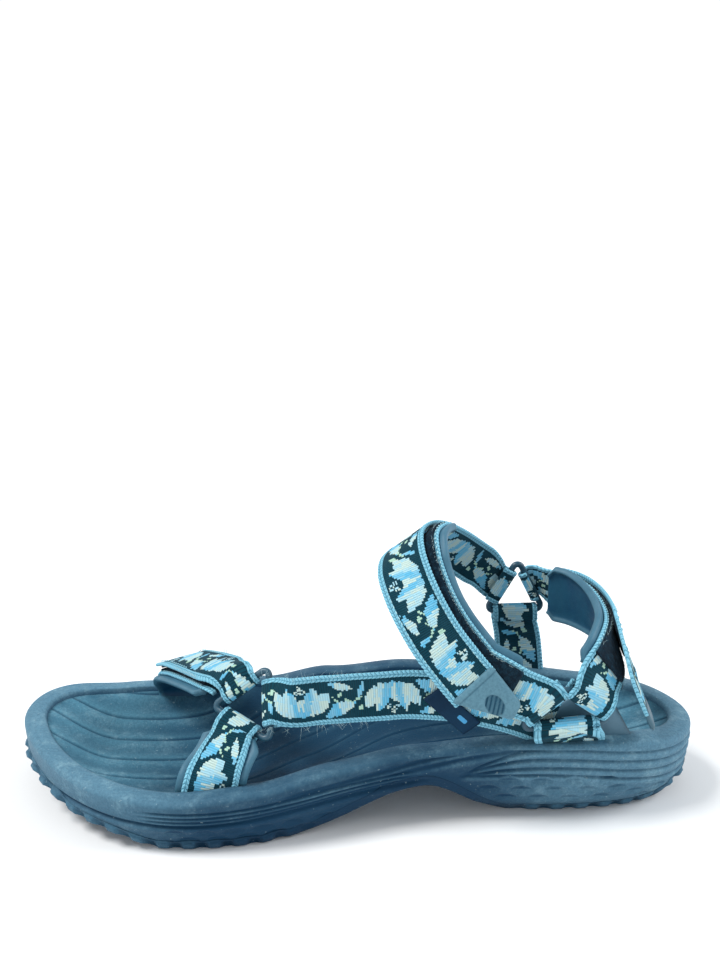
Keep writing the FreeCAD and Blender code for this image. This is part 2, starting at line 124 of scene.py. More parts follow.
def catmull(p0, p1, p2, p3, t):
    return (p1 * 2 + (p2 - p0) * t + (p0 * 2 - p1 * 5 + p2 * 4 - p3) * (t * t)
            + (p1 * 3 - p0 - p2 * 3 + p3) * (t ** 3)) * 0.5


class Path:
    """A strap's middle line: places it passes, and the way its width points there.

    out is +1 or -1 and turns the normal to the side away from the foot.
    """

    def __init__(self, stations, out):
        self.places = [V(place) for place, across in stations]
        self.widths = [unit(V(across)) for place, across in stations]
        self.out = out
        self.lengths = [0.0]
        for a, b in zip(self.places, self.places[1:]):
            self.lengths.append(self.lengths[-1] + (b - a).length)
        self.total = self.lengths[-1]

    def sample(self, values, s):
        for i in range(len(self.lengths) - 1):
            if s <= self.lengths[i + 1] or i == len(self.lengths) - 2:
                break
        t = (s - self.lengths[i]) / (self.lengths[i + 1] - self.lengths[i])
        before = values[i - 1] if i > 0 else values[0] * 2 - values[1]
        after = values[i + 2] if i + 2 < len(values) else values[-1] * 2 - values[-2]
        return catmull(before, values[i], values[i + 1], after, t)

    def frame(self, s):
        """Place, direction, width and outward normal at distance s along the path."""
        place = self.sample(self.places, s)
        along = unit(self.sample(self.places, s + 0.1) - self.sample(self.places, s - 0.1))
        across = self.sample(self.widths, s)
        across = unit(across - along * across.dot(along))
        normal = unit(across.cross(along)) * self.out
        return place, along, across, normal

    def mark(self, s):
        """Distance s along the path; None is its end and a negative one counts back from there."""
        if s is None:
            return self.total
        return s if s >= 0 else self.total + s

    def at(self, place):
        """Distance along the path of the station that stands at this place."""
        return min(zip(self.lengths, self.places), key=lambda pair: (pair[1] - V(place)).length)[0]

    def beside_all(self, start, end, count, outward, sideways):
        """Evenly spaced stations of a path beside this one, from start to end."""
        stations = []
        for i in range(count):
            place, _, across, normal = self.frame(start + (end - start) * i / (count - 1))
            stations.append((place + normal * outward + across * sideways, across))
        return stations


def ring_loop(bar, strap_side, outside, tail=4.0, reverse=False, lead=3.5):
    """Stations that take a strap round a ring's bar, ending on the bar's inner side."""
    start, end = bar
    axis = unit(end - start)
    middle = (start + end) * 0.5
    back = unit(strap_side - axis * strap_side.dot(axis))
    up = axis.cross(back)
    if up.dot(outside) < 0:
        up = -up
    stations = [(middle + up * LOOP_RADIUS + back * lead, axis)]
    for angle in (90, 45, 0, -45, -90):
        turn = math.radians(angle)
        stations.append((middle + (up * math.sin(turn) - back * math.cos(turn)) * LOOP_RADIUS, axis))
    if tail:
        stations.append((middle - up * (LOOP_RADIUS + 0.15) + back * tail, axis))
    return stations[::-1] if reverse else stations


def ring_bars(corners, growth):
    """The straight stretches of a rounded triangular ring, as pairs of ends."""
    middle = (V(corners[0]) + V(corners[1]) + V(corners[2])) / 3
    points = [middle + (V(c) - middle) * growth for c in corners]
    starts, ends = [], []
    for i in range(3):
        here, before, after = points[i], points[i - 1], points[(i + 1) % 3]
        to_before, to_after = unit(before - here), unit(after - here)
        tangent = RING_CORNER / math.tan(to_before.angle(to_after) / 2)
        starts.append(here + to_before * tangent)
        ends.append(here + to_after * tangent)
    return [(ends[i], starts[(i + 1) % 3]) for i in range(3)]


# ---- meshes ----
def put_in_scene(name, data):
    thing = bpy.data.objects.new(name, data)
    bpy.context.scene.collection.objects.link(thing)
    return thing


def mesh_piece(name, places, faces, strap_uv=None, wear_and_light=None):
    """A smooth-shaded piece from places in millimetres.

    strap_uv gives each vertex its distance along and across a strap, in millimetres.
    The last list gives each vertex a tone: 0 for a hidden hollow in painted shade up to 1 for a pale place,
    lit by painted light or rubbed pale.
    """
    mesh = bpy.data.meshes.new(name)
    mesh.from_pydata([metres(p) for p in places], [], faces)
    mesh.polygons.foreach_set("use_smooth", [True] * len(mesh.polygons))
    if strap_uv is not None:
        layer = mesh.uv_layers.new(name="strap")
        corners = np.zeros(len(mesh.loops), int)
        mesh.loops.foreach_get("vertex_index", corners)
        layer.data.foreach_set("uv", np.array(strap_uv, float)[corners].ravel())
    if wear_and_light is not None:
        attribute = mesh.attributes.new("wear_and_light", "FLOAT", "POINT")
        attribute.data.foreach_set("value", np.array(wear_and_light, float))
    shape = bmesh.new()
    shape.from_mesh(mesh)
    bmesh.ops.remove_doubles(shape, verts=shape.verts, dist=WELD * MM)
    bmesh.ops.recalc_face_normals(shape, faces=shape.faces)
    shape.to_mesh(mesh)
    shape.free()
    mesh.validate()
    mesh.update()
    return put_in_scene(name, mesh)


def row_faces(rows, around):
    """Quads between closed rows of vertices."""
    faces = []
    for i in range(rows - 1):
        for j in range(around):
            k = (j + 1) % around
            faces.append((i * around + j, i * around + k, (i + 1) * around + k, (i + 1) * around + j))
    return faces


def tube_faces(rows, around):
    """Quads between closed rows of vertices, and a cap on each end."""
    last = (rows - 1) * around
    return row_faces(rows, around) + [tuple(range(around))[::-1], tuple(range(last, last + around))]


def finish_piece(piece, body, slot, material, *nodes):
    """Gives a piece its material and body, and hides the CAD nodes that it stands for."""
    piece.data.materials.clear()
    piece.data.materials.append(material)
    if nodes:
        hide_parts(*nodes)
    if body:
        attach(piece, body)
    return piece


def strap_section(height, marks):
    """Closed section of a strip: marks run across from -1 to 1, height(a) is half its thickness there."""
    top = [(a, height(a)) for a in marks]
    return top + [(a, -h) for a, h in top[::-1][1:-1]]


EDGE_MARKS = [-1, -0.992, -0.975, -0.95, -0.92, -0.87, -0.82, -0.78, -0.755, -0.73]
WEB_MARKS = EDGE_MARKS + [-0.6 + 0.15 * i for i in range(9)] + [-a for a in EDGE_MARKS[::-1]]


def webbing_height(a):
    """Half thickness of the webbing: a rounded edge, a raised selvedge and a groove beside it."""
    edge = max(0.0, (abs(a) - 0.94) / 0.06)
    selvedge = 0.16 * math.exp(-((abs(a) - 0.87) / 0.08) ** 2)
    groove = 0.12 * math.exp(-((abs(a) - 0.755) / 0.022) ** 2)
    return (0.60 + selvedge - groove) * math.sqrt(max(0.0, 1 - edge * edge))


def slab_height(thickness, edge_share):
    """Half thickness of a plain strip with rounded edges."""
    def height(a):
        edge = max(0.0, (abs(a) - 1 + edge_share) / edge_share)
        return thickness / 2 * math.sqrt(max(0.0, 1 - edge * edge))
    return height


def strip(name, path, start, end, section, width, outward=0.0, widths=None, step=0.5, ripple=0.0,
          wave=0.0, rough=0.0, run=0.0, seed=0, dish=None):
    """A strip along a path, with a section of (across, height) pairs.

    ripple is how far the edges go in and out, wave how far the strip sways, and rough how
    uneven its surface is. dish is how far its middle stands out from its edges. widths and
    dish each hold distances along the path and the values there.
    """
    start, end = path.mark(start), path.mark(end)
    if widths:
        widths = ([path.mark(s) for s in widths[0]], widths[1])
    if dish:
        dish = ([path.mark(s) for s in dish[0]], dish[1])
    count = max(2, int((end - start) / step) + 1)
    places, uv = [], []
    for i in range(count):
        s = start + (end - start) * i / (count - 1)
        place, _, across, normal = path.frame(s)
        half = float(ease(widths[0], widths[1], s)) / 2 if widths else width / 2
        sway = wave * noise.noise(V((s * 0.07, seed * 7.3, 0)))
        half += ripple * math.sin(2 * math.pi * s / 1.5)
        drift = wave * noise.noise(V((s * 0.05, seed * 3.1, 9)))
        crown = float(ease(dish[0], dish[1], s)) if dish else 0.0
        for a, h in section:
            lift = outward + h + sway + crown * (1 - a * a)
            if rough:
                lift += rough * noise.noise(V((s * 1.1, a * half * 1.1, seed))) * (1 if h > 0 else -1)
            places.append(place + across * (half * a + drift) + normal * lift)
            uv.append((s + run, a * WEBBING / 2))
    return mesh_piece(name, places, tube_faces(count, len(section)), uv)


def stitches(name, path, rows, outward, length=1.3, thick=0.26):
    """Thread stitches, each a small rounded bar.

    rows holds (start, end, from_across, to_across, count) for each row of stitches.
    """
    places, faces = [], []
    around, slices = 6, 5
    for start, end, low, high, count in rows:
        for i in range(count):
            t = i / max(1, count - 1)
            s, off = start + (end - start) * t, low + (high - low) * t
            place, along, across, normal = path.frame(s)
            way = unit(along * (end - start) + across * (high - low)) if count > 1 else along
            side = normal.cross(way)
            middle = place + across * off + normal * outward
            base = len(places)
            for k in range(slices):
                x = -1 + 2 * k / (slices - 1)
                r = thick * math.sqrt(max(0.02, 1 - x * x))
                for j in range(around):
                    turn = 2 * math.pi * j / around
                    places.append(middle + way * (x * length / 2) + side * (r * math.cos(turn))
                                  + normal * (r * math.sin(turn) + thick * 0.3 * (1 - x * x)))
            faces += [tuple(base + v for v in face) for face in tube_faces(slices, around)]
    return mesh_piece(name, places, faces)


# ---- materials ----
def add_node(tree, kind, values, **settings):
    """A new node; values gives inputs, by name or place, a value, a Num or another node's output."""
    node = tree.nodes.new("ShaderNode" + kind)
    for name, setting in settings.items():
        setattr(node, name, setting)
    for port, value in values.items():
        if isinstance(value, Num):
            value = value.socket
        if isinstance(value, bpy.types.NodeSocket):
            tree.links.new(value, node.inputs[port])
        else:
            node.inputs[port].default_value = value
    return node


class Num:
    """A number in a material; arithmetic on it adds Math nodes."""

    def __init__(self, tree, socket):
        self.tree, self.socket = tree, socket

    def math(self, operation, *others):
        values = dict(enumerate((self,) + others))
        return Num(self.tree, add_node(self.tree, "Math", values, operation=operation).outputs[0])

    def __add__(self, other):
        return self.math("ADD", other)

    def __sub__(self, other):
        return self.math("SUBTRACT", other)

    def __mul__(self, other):
        return self.math("MULTIPLY", other)

    def __truediv__(self, other):
        return self.math("DIVIDE", other)

    def over(self, limit=0.0):
        """1 where this number is over the limit, else 0."""
        return self.math("GREATER_THAN", limit)

    def size(self):
        return self.math("ABSOLUTE")

    def wave(self, pitch):
        """0 at each multiple of the pitch and 1 half way between."""
        return (self / pitch * math.pi).math("SINE").size()

    def step(self, low, high):
        """0 below low, 1 above high and a smooth step between."""
        values = {"Value": self, "From Min": low, "From Max": high}
        node = add_node(self.tree, "MapRange", values, interpolation_type="SMOOTHSTEP")
        return Num(self.tree, node.outputs[0])


def new_material(name, roughness, sheen=0.0, specular=0.5):
    """A new material, its node tree and its shader."""
    material = bpy.data.materials.new(name)
    material.use_nodes = True
    tree = material.node_tree
    shader = tree.nodes["Principled BSDF"]
    shader.inputs["Roughness"].default_value = roughness
    shader.inputs["Specular IOR Level"].default_value = specular
    shader.inputs["Sheen Weight"].default_value = sheen
    shader.inputs["Sheen Roughness"].default_value = 0.5
    return material, tree, shader


MIX_A, MIX_B, MIX_RESULT = 6, 7, 2         # places of the Mix node's colour sockets


def colour_mix(share, a, b):
    """Colour a where share is 0 and b where it is 1; each is a colour or a socket."""
    a, b = [value + (1,) if isinstance(value, tuple) else value for value in (a, b)]
    node = add_node(share.tree, "Mix", {"Factor": share, MIX_A: a, MIX_B: b}, data_type="RGBA")
    return node.outputs[MIX_RESULT]


def object_noise(tree, scale, detail=2.0, rough=0.5):
    """Noise fixed to the object, scale in waves per metre."""
    where = add_node(tree, "TexCoord", {}).outputs["Object"]
    values = {"Vector": where, "Scale": scale, "Detail": detail, "Roughness": rough}
    return Num(tree, add_node(tree, "TexNoise", values).outputs[0])


def finish_look(shader, colour, relief, distance):
    """Gives a shader its colour and fine relief: 1 stands out by distance, in metres."""
    node = add_node(relief.tree, "Bump", {"Distance": distance, "Height": relief})
    relief.tree.links.new(node.outputs[0], shader.inputs["Normal"])
    relief.tree.links.new(colour, shader.inputs["Base Color"])


def strap_place(tree):
    """Distance along and across a strap in millimetres, as two numbers."""
    uv = add_node(tree, "UVMap", {}, uv_map="strap")
    parts = add_node(tree, "SeparateXYZ", {0: uv.outputs[0]})
    return Num(tree, parts.outputs[0]), Num(tree, parts.outputs[1])


def random_of(*numbers):
    """A random number from 0 to 1 for each whole number, or each pair of them."""
    tree = numbers[0].tree
    join = add_node(tree, "CombineXYZ", dict(enumerate(numbers)))
    node = add_node(tree, "TexWhiteNoise", {"Vector": join.outputs[0]}, noise_dimensions="2D")
    return Num(tree, node.outputs["Value"])


def oval(x, y, cx, cy, rx, ry, tilt):
    """Over 0 inside a tilted oval and 1 at its middle."""
    c, s = math.cos(math.radians(tilt)), math.sin(math.radians(tilt))
    dx, dy = x - cx, y - cy
    along = (dx * c + dy * s) / rx
    beside = (dy * c - dx * s) / ry
    return (along * along + beside * beside) * -1 + 1


def petal(x, y, start, end, half, bend=0.0):
    """Over 0 inside a pointed petal from start to end, bowed sideways by bend."""
    dx, dy = end[0] - start[0], end[1] - start[1]
    size = math.hypot(dx, dy)
    c, s = dx / size, dy / size
    ox, oy = x - (start[0] + end[0]) / 2, y - (start[1] + end[1]) / 2
    along = (ox * c + oy * s) / (size / 2)
    beside = oy * c - ox * s
    swell = along * along * -1 + 1
    return swell * half - (beside - swell * bend).size()


def any_of(first, *others):
    """The largest of several numbers, so over 0 inside any of the shapes."""
    for other in others:
        first = first.math("MAXIMUM", other)
    return first


# colours of the webbing's threads, with a painted highlight for the crowns of the ribs and painted shade
# for the grooves of the braid
GROUND = (0.0006, 0.020, 0.034)
RIB_PAINTED_HIGHLIGHT = (0.0015, 0.050, 0.078)
CREAM = (0.52, 0.68, 0.64)
PALE = (0.36, 0.64, 0.76)
SKY = (0.105, 0.46, 0.72)
SPRIG = (0.40, 0.64, 0.52)
SELVEDGE = (0.23, 0.55, 0.71)
SELVEDGE_GROOVE_SHADE = (0.07, 0.26, 0.38)
# colours that gather on the pieces
DIRT = (0.06, 0.14, 0.18)
SCUFF = (0.20, 0.36, 0.44)
SPECK = (0.35, 0.48, 0.52)
# distances from the webbing's middle
PATTERN_EDGE = 7.4
SELVEDGE_START = 7.75
SELVEDGE_MIDDLE = 8.85


def webbing_material():
    """Jacquard webbing: flowers and leaves in pale thread on near-black, between braided edges."""
    material, tree, shader = new_material("webbing", 0.85, sheen=0.03, specular=0.12)
    u, v = strap_place(tree)
    rib = (u / RIB).math("FLOOR")
    warp_row = (v / THREAD).math("FLOOR")
    loose = random_of(rib, warp_row)
    ragged = random_of(rib)
    streak = random_of(rib, (v / 3.5).math("FLOOR"))
    along = (rib + 0.5) * RIB
    cell = (along / HALF_REPEAT).math("FLOOR")
    x = along - (cell + 0.5) * HALF_REPEAT
    flip = (cell * 0.5).math("FRACT").over(0.25) * -2 + 1
    y = (warp_row + 0.5) * THREAD * flip + (ragged - 0.5) * 0.9
    ax = x.size()

    outer_petal = petal(ax, y, (0.2, -5.6), (10.6, 3.6), 3.3, -0.6)
    inner_petal = petal(ax, y, (0.0, -6.2), (5.4, 6.2), 2.7, -0.8)
    heart = petal(ax, y, (0.0, -6.4), (0.0, 2.2), 2.4)
    cleft = ax * 0.9 - y + 1.2
    berries = any_of(oval(ax, y, 0, 5.9, 1.0, 0.95, 0), oval(ax, y, 1.25, 4.2, 0.95, 0.9, 0))
    eyes = any_of(oval(ax, y, 0, 5.9, 0.42, 0.4, 0), oval(ax, y, 1.25, 4.2, 0.42, 0.4, 0))
    flower = any_of(outer_petal, inner_petal.math("MINIMUM", cleft), heart.math("MINIMUM", cleft))
    leaves = any_of(petal(x, y, (8.0, -6.8), (20.2, -1.4), 2.5, 0.5),
                    petal(x, y, (10.2, 6.9), (19.4, 4.2), 1.5),
                    petal(x, y, (-25.5, 6.8), (-13.3, 1.4), 2.5, -0.5),
                    petal(x, y, (-23.3, -6.9), (-14.1, -4.2), 1.5),
                    petal(x, y, (-10.6, -6.6), (-12.4, -0.6), 1.0))
    wander = (x * 0.75).math("SINE") * 1.4
    vine = ((y - wander).size() * -1 + 0.45).math("MINIMUM", ax - 11.2)
    buds = any_of(oval(x, y, 14.4, 1.9, 1.1, 0.8, 30), oval(x, y, -11.6, 3.3, 0.9, 1.2, 0))
    sprigs = any_of(vine, buds)
    shape = any_of(flower, berries, leaves, sprigs)
    inside = shape.over() * (v.size() * -1 + PATTERN_EDGE).over()
    inside = inside * (eyes * -1).over()

    column = (ax + y * -0.22 - 2.6 + (streak - 0.5) * 1.2).size() * -1 + 1.35
    petal_blue = column.over() * flower.over()
    leaf_blue = leaves.over() * (ax * -1 + (streak - 0.5) * 2.4 + 13.6).over()
    blueness = any_of(petal_blue, leaf_blue) * (streak * 0.3 + 0.7)
    thread_colour = colour_mix((streak * 0.8 + loose * 0.3).step(0.3, 0.9), CREAM, PALE)
    thread_colour = colour_mix(blueness, thread_colour, SKY)
    leaf_only = (sprigs.over() - flower.over() - leaves.over()).over()
    thread_colour = colour_mix(leaf_only, thread_colour, SPRIG)
    ribs = u.wave(RIB)
    # painted highlight: the crown of each rib is lighter than the ground thread, with a little random
    # variation
    ground = colour_mix(ribs * 0.7 + loose * 0.2, GROUND, RIB_PAINTED_HIGHLIGHT)
    cloth = colour_mix(inside, ground, thread_colour)

    from_middle = v.size()
    band = from_middle.over(SELVEDGE_START)
    beside = (from_middle - SELVEDGE_MIDDLE).size()
    chevron = u / 1.5 + beside * 0.55
    braid = chevron.wave(1) * beside.step(0.0, 0.25)
    # painted shade in the grooves of the braid and along its middle line
    braid_colour = colour_mix(braid.step(0.05, 0.55), SELVEDGE_GROOVE_SHADE, SELVEDGE)
    cloth = colour_mix(band, cloth, braid_colour)

    warp = v.wave(THREAD)
    weave = ribs.math("SQRT") * 0.75 + warp * 0.25
    dirt = object_noise(tree, 90, 4, 0.6).step(0.35, 0.75)
    # painted shade in the gaps between ribs and threads, stronger on the plain ground than on the pattern
    # and the selvedges
    gap_shade = (inside + band).over(0.5) * -0.42 + 0.8
    cloth = colour_mix((weave * -1 + 1) * gap_shade, cloth, GROUND)
    cloth = colour_mix(dirt * 0.10, cloth, DIRT)
    relief = weave * (band * -1 + 1) + braid * band * 1.2 + inside * 0.5
    finish_look(shader, cloth, relief, 0.00022)
    return material


def foam_material(name, low, high, roughness, grain, dust_and_light, speck=0.35):
    """Moulded foam or rubber: dark to pale as each vertex's tone says, which is painted shade in hollows,
    painted light on faces that meet the light and rubbed wear; pale scuffs gather where the tone is high.
    """
    material, tree, shader = new_material(name, roughness, sheen=0.02, specular=0.2)
    # each vertex's tone: wear, with painted shade in hollows and painted light where faces meet the light
    wear_and_light = Num(tree, add_node(tree, "Attribute", {}, attribute_name="wear_and_light").outputs["Fac"])
    clouds = object_noise(tree, 26, 6, 0.65)
    fine = object_noise(tree, 950, 4, 0.7)
    share = (wear_and_light + (clouds - 0.5) * 0.7).step(0.0, 1.05)
    colour = colour_mix(share, low, high)
    # pale dusty scuffs where the tone is high, so they follow the painted light as well as the wear
    scuffs = object_noise(tree, 110, 8, 0.8).step(0.46, 0.76) * wear_and_light * dust_and_light
    colour = colour_mix(scuffs, colour, SCUFF)
    specks = object_noise(tree, 900, 1, 0.4).step(0.75, 0.77) * speck
    colour = colour_mix(specks, colour, SPECK)
    colour = colour_mix(fine.step(0.35, 0.7) * 0.3, colour, low)
    finish_look(shader, colour, fine + clouds * 0.4, grain * 2.5)
    return material


def plain_material(name, low, high, roughness, scale, grain, specular=0.5, sheen=0.0):
    """Smooth moulded plastic, rubber or cloth with gentle variation and a fine grain."""
    material, tree, shader = new_material(name, roughness, sheen=sheen, specular=specular)
    clouds = object_noise(tree, 60, 4, 0.6)
    fine = object_noise(tree, scale, 2, 0.6)
    colour = colour_mix(clouds.step(0.3, 0.7), low, high)
    colour = colour_mix(fine.step(0.35, 0.75) * 0.25, colour, low)
    finish_look(shader, colour, fine, grain)
    return material


def lining_material():
    """Moulded strap lining: a dark smooth face inside a paler rounded border."""
    material, tree, shader = new_material("lining_foam", 0.5, specular=0.3)
    v = strap_place(tree)[1].size()
    clouds = object_noise(tree, 60, 5, 0.65)
    fine = object_noise(tree, 1800, 2, 0.6)
    face = colour_mix(clouds.step(0.3, 0.7), (0.002, 0.045, 0.105), (0.012, 0.085, 0.150))
    border = colour_mix(clouds.step(0.3, 0.7), (0.030, 0.112, 0.172), (0.056, 0.155, 0.225))
    colour = colour_mix((v + (clouds - 0.5) * 0.8).step(7.4, 8.5), face, border)
    finish_look(shader, colour, fine + clouds * 0.5, 0.00008)
    return material


def tape_material(name, base, fibre, scale):
    """Hook or loop tape: a dark brushed pile with paler fibre ends."""
    material, tree, shader = new_material(name, 0.95, sheen=0.04, specular=0.15)
    pile = object_noise(tree, scale, 4, 0.8)
    tufts = object_noise(tree, scale * 0.22, 3, 0.6)
    share = (pile * 0.6 + tufts * 0.5).step(0.5, 0.68)
    finish_look(shader, colour_mix(share * 0.7, base, fibre), pile + tufts, 0.0006)
    return material


webbing = webbing_material()
lining_foam = lining_material()
midsole_foam = foam_material("midsole_foam", (0.0004, 0.034, 0.080), (0.084, 0.200, 0.284), 0.62,
                             0.00012, 0.9)
footbed_foam = foam_material("footbed_foam", (0.0004, 0.034, 0.076), (0.072, 0.220, 0.310), 0.72,
                             0.00018, 1.0)
outsole_rubber = foam_material("outsole_rubber", (0.0004, 0.028, 0.068), (0.062, 0.165, 0.245), 0.66,
                               0.00012, 0.35)
tab_rubber = foam_material("tab_rubber", (0.006, 0.058, 0.105), (0.125, 0.270, 0.345), 0.48,
                           0.00006, 0.2, 0.1)
gusset_cloth = plain_material("gusset_lining", (0.055, 0.140, 0.205), (0.085, 0.190, 0.265), 0.55,
                              2200, 0.00005)
ring_plastic = plain_material("ring_plastic", (0.006, 0.046, 0.080), (0.026, 0.095, 0.145), 0.38,
                              900, 0.00003)
dark_rubber = plain_material("dark_rubber", (0.012, 0.060, 0.095), (0.040, 0.120, 0.170), 0.50,
                             2000, 0.00004)
thread = plain_material("thread", (0.20, 0.46, 0.56), (0.36, 0.60, 0.66), 0.8, 2500, 0.00005)
label_cloth = plain_material("label_cloth", (0.0005, 0.018, 0.048), (0.002, 0.030, 0.070), 0.7,
                             2600, 0.00008, 0.15)
label_mark = plain_material("label_mark", (0.03, 0.24, 0.50), (0.05, 0.32, 0.60), 0.7, 2600, 0.00008)
loop_tape = tape_material("loop_tape", (0.0005, 0.010, 0.022), (0.010, 0.050, 0.085), 2600)
hook_tape = tape_material("hook_tape", (0.0005, 0.008, 0.018), (0.006, 0.030, 0.050), 3200)
lint = plain_material("lint", (0.35, 0.52, 0.56), (0.50, 0.66, 0.68), 0.9, 900, 0.00001)

# ---- paths of the straps, as in the frame ----
# Each station is a place and the way that the strap's width points there.
FRONT_CORNERS = [(54, 18.5, 45), (34.5, 32, 38.5), (35, 17, 58)]
LATERAL_CORNERS = [(-76, 36.8, 56.5), (-59, 37.3, 42.5), (-93, 35.4, 44)]
MEDIAL_CORNERS = [(-69.5, -34, 80), (-58, -33, 61), (-79, -33.5, 61)]
front_bars = ring_bars(FRONT_CORNERS, 1.15)
lateral_bars = ring_bars(LATERAL_CORNERS, 1.13)
medial_bars = ring_bars(MEDIAL_CORNERS, 1.18)
REARWARD = (-1, 0, 0)

outer_toe = Path([((57, 40.5, 9), REARWARD), ((57, 41, 18), REARWARD), ((55.5, 40.3, 25), REARWARD),
                  ((52.8, 37.2, 31.5), (-0.92, 0.3, 0.1)), ((49, 32, 37.6), (-0.88, 0.42, 0.0))]
                 + ring_loop(front_bars[0], V((9, 12, -10)), V((0.3, 0.8, 0.5))), 1)
flap_bar = (front_bars[2][1], front_bars[2][0])
toe_flap = Path(ring_loop(flap_bar, V((7, -10, 1)), V((0.2, 0.3, 0.9)), tail=0, reverse=True)
                + [((51.5, 8, 54.2), (-0.83, -0.47, 0.2)), ((58.3, -4, 51.4), (-0.84, -0.5, 0.15)),
                   ((65.2, -15.8, 48), (-0.85, -0.5, 0.1)), ((71, -26.5, 44.2), (-0.87, -0.47, 0.06)),
                   ((75, -34.5, 39.4), (-0.9, -0.4, 0.0))], 1)
inner_toe = Path([((72, -40, 9), REARWARD), ((72, -40.2, 17), REARWARD), ((73, -40.8, 25.5), REARWARD)]
                 + toe_flap.beside_all(toe_flap.total - 0.3, toe_flap.at((51.5, 8, 54.2)) - 2.5, 12,
                                       -CLOSURE - 0.2, 0), -1)
side = Path(ring_loop(front_bars[1], V((-10, 5, 2)), V((0.3, 0.9, 0.3)), reverse=True)
            + [((24, 30.6, 51.5), (-0.05, -0.05, 1)), ((12, 32.3, 53.4), (0, 0.02, 1)),
               ((-4, 33.4, 54.8), (0, 0.02, 1)), ((-20, 33.4, 54.9), (0, 0.02, 1)),
               ((-34, 32.6, 53.2), (0.05, 0.05, 1)), ((-48, 31.8, 49.8), (0.12, 0.08, 0.98)),
               ((-60, 31.2, 45.7), (0.2, 0.08, 0.97)), ((-72, 30.5, 40.6), (0.25, 0.05, 0.96))], -1)
outer_anchor = Path([((-81, 31.4, 20), REARWARD), ((-80.6, 31.5, 27), REARWARD),
                     ((-79.6, 32.0, 33), (-1, -0.02, 0.02))]
                    + ring_loop(lateral_bars[1], V((-1, -1, -10)), V((0, 1, 0.2)), tail=0, lead=2.0), 1)
inner_anchor = Path([((-71.5, -29.5, 18), REARWARD), ((-71.5, -29.6, 28), REARWARD),
                     ((-71, -31.0, 38), REARWARD), ((-70, -32.8, 48), REARWARD)]
                    + ring_loop(medial_bars[1], V((-1, 1, -10)), V((0, -1, 0))), -1)
instep_bar = (medial_bars[0][1], medial_bars[0][0])
instep = Path(ring_loop(instep_bar, V((10, 1.5, 9.5)), V((0, -1, 0.2)), reverse=True)
              + [((-55, -33.3, 78.6), (-0.5, 0.1, 0.85)), ((-48, -30.6, 84.6), (-0.52, 0.2, 0.83)),
                 ((-39.5, -24, 92.6), (-0.6, 0.27, 0.75)), ((-30, -13, 101), (-0.7, 0.3, 0.65)),
                 ((-22.5, -2, 105), (-0.75, 0.2, 0.62)), ((-17.5, 9, 105), (-0.78, 0.0, 0.6)),
                 ((-16.3, 19, 101.6), (-0.8, -0.1, 0.57)), ((-18.2, 27, 95.6), (-0.82, -0.15, 0.53)),
                 ((-22, 33.5, 88), (-0.82, -0.2, 0.52)), ((-27.5, 38, 79), (-0.82, -0.2, 0.52)),
                 ((-33.5, 40.6, 71), (-0.82, -0.2, 0.52)), ((-39.5, 41.8, 63.5), (-0.8, -0.2, 0.55)),
                 ((-46, 42.3, 56), (-0.78, -0.2, 0.58)), ((-52.5, 42.6, 49), (-0.75, -0.2, 0.6))], -1)
fold = instep.at((-30, -13, 101)) + 3.0
flap_end = instep.at((-39.5, 41.8, 63.5)) + 1.0
base_end = instep.at((-22.5, -2, 105)) - 5.0
base_bar = (lateral_bars[0][1], lateral_bars[0][0])
instep_base = Path(ring_loop(base_bar, V((9, 0, 8)), V((0, 1, 0.2)), reverse=True)
                   + [((-57.5, 38.6, 57.5), (-0.66, 0.05, 0.72)),
                       ((-50.5, 38.0, 61.2), (-0.72, -0.05, 0.66))]
                   + instep.beside_all(flap_end - 1, base_end, 22, -CLOSURE, 4.5), 1)
heel_base = Path(ring_loop(lateral_bars[2], V((-3, -1, 9)), V((-0.3, 1, 0.2)), reverse=True)
                 + [((-88.6, 34.8, 60), (0.75, 0.1, 0.6)), ((-93.8, 28.5, 65), (0.55, 0.1, 0.8)),
                    ((-97.4, 17, 67.2), (0.33, 0.02, 0.94)), ((-98.6, 3, 68.0), (0.27, 0, 0.96)),
                    ((-96.6, -11, 69), (0.22, 0, 0.97)), ((-91.3, -22, 69.5), (0.12, 0, 0.99)),
                    ((-83.5, -28.6, 69.6), (0.05, 0, 1))], -1)
heel_flap = Path(ring_loop(medial_bars[2], V((-8, -1, 0)), V((0, -1, 0)), tail=0, reverse=True)
                 + heel_base.beside_all(heel_base.total - 1, heel_base.at((-97.4, 17, 67.2)) + 3, 13,
                                        CLOSURE, 0)
                 + [((-102.2, 24.5, 62.5), (0.38, 0.4, 0.83)), ((-104.2, 28.5, 54.5), (0.38, 0.7, 0.6)),
                    ((-107.2, 29.6, 47), (0.35, 0.8, 0.45)), ((-110.5, 29, 40), (0.35, 0.8, 0.45))], 1)


def looped(at_end, width=LOOP_WIDTH):
    """Widths of a strap that is bunched to pass round a ring at one end of its path."""
    if at_end:
        return ([-SPREAD, -BUNCHED], [WEBBING, width])
    return ([BUNCHED, SPREAD], [width, WEBBING])


# ---- webbing ----
WEB_SECTION = strap_section(webbing_height, WEB_MARKS)


def web(strap, path, start, end, widths, run, body="sandal", nodes=(), **more):
    """A length of webbing; run sets which part of the pattern it shows."""
    name = strap + "_webbing"
    piece = strip(name, path, start, end, WEB_SECTION, WEBBING, widths=widths, ripple=0.10,
                  run=run, seed=len(name), **more)
    return finish_piece(piece, body, "webbing", webbing, *(nodes or [strap]))


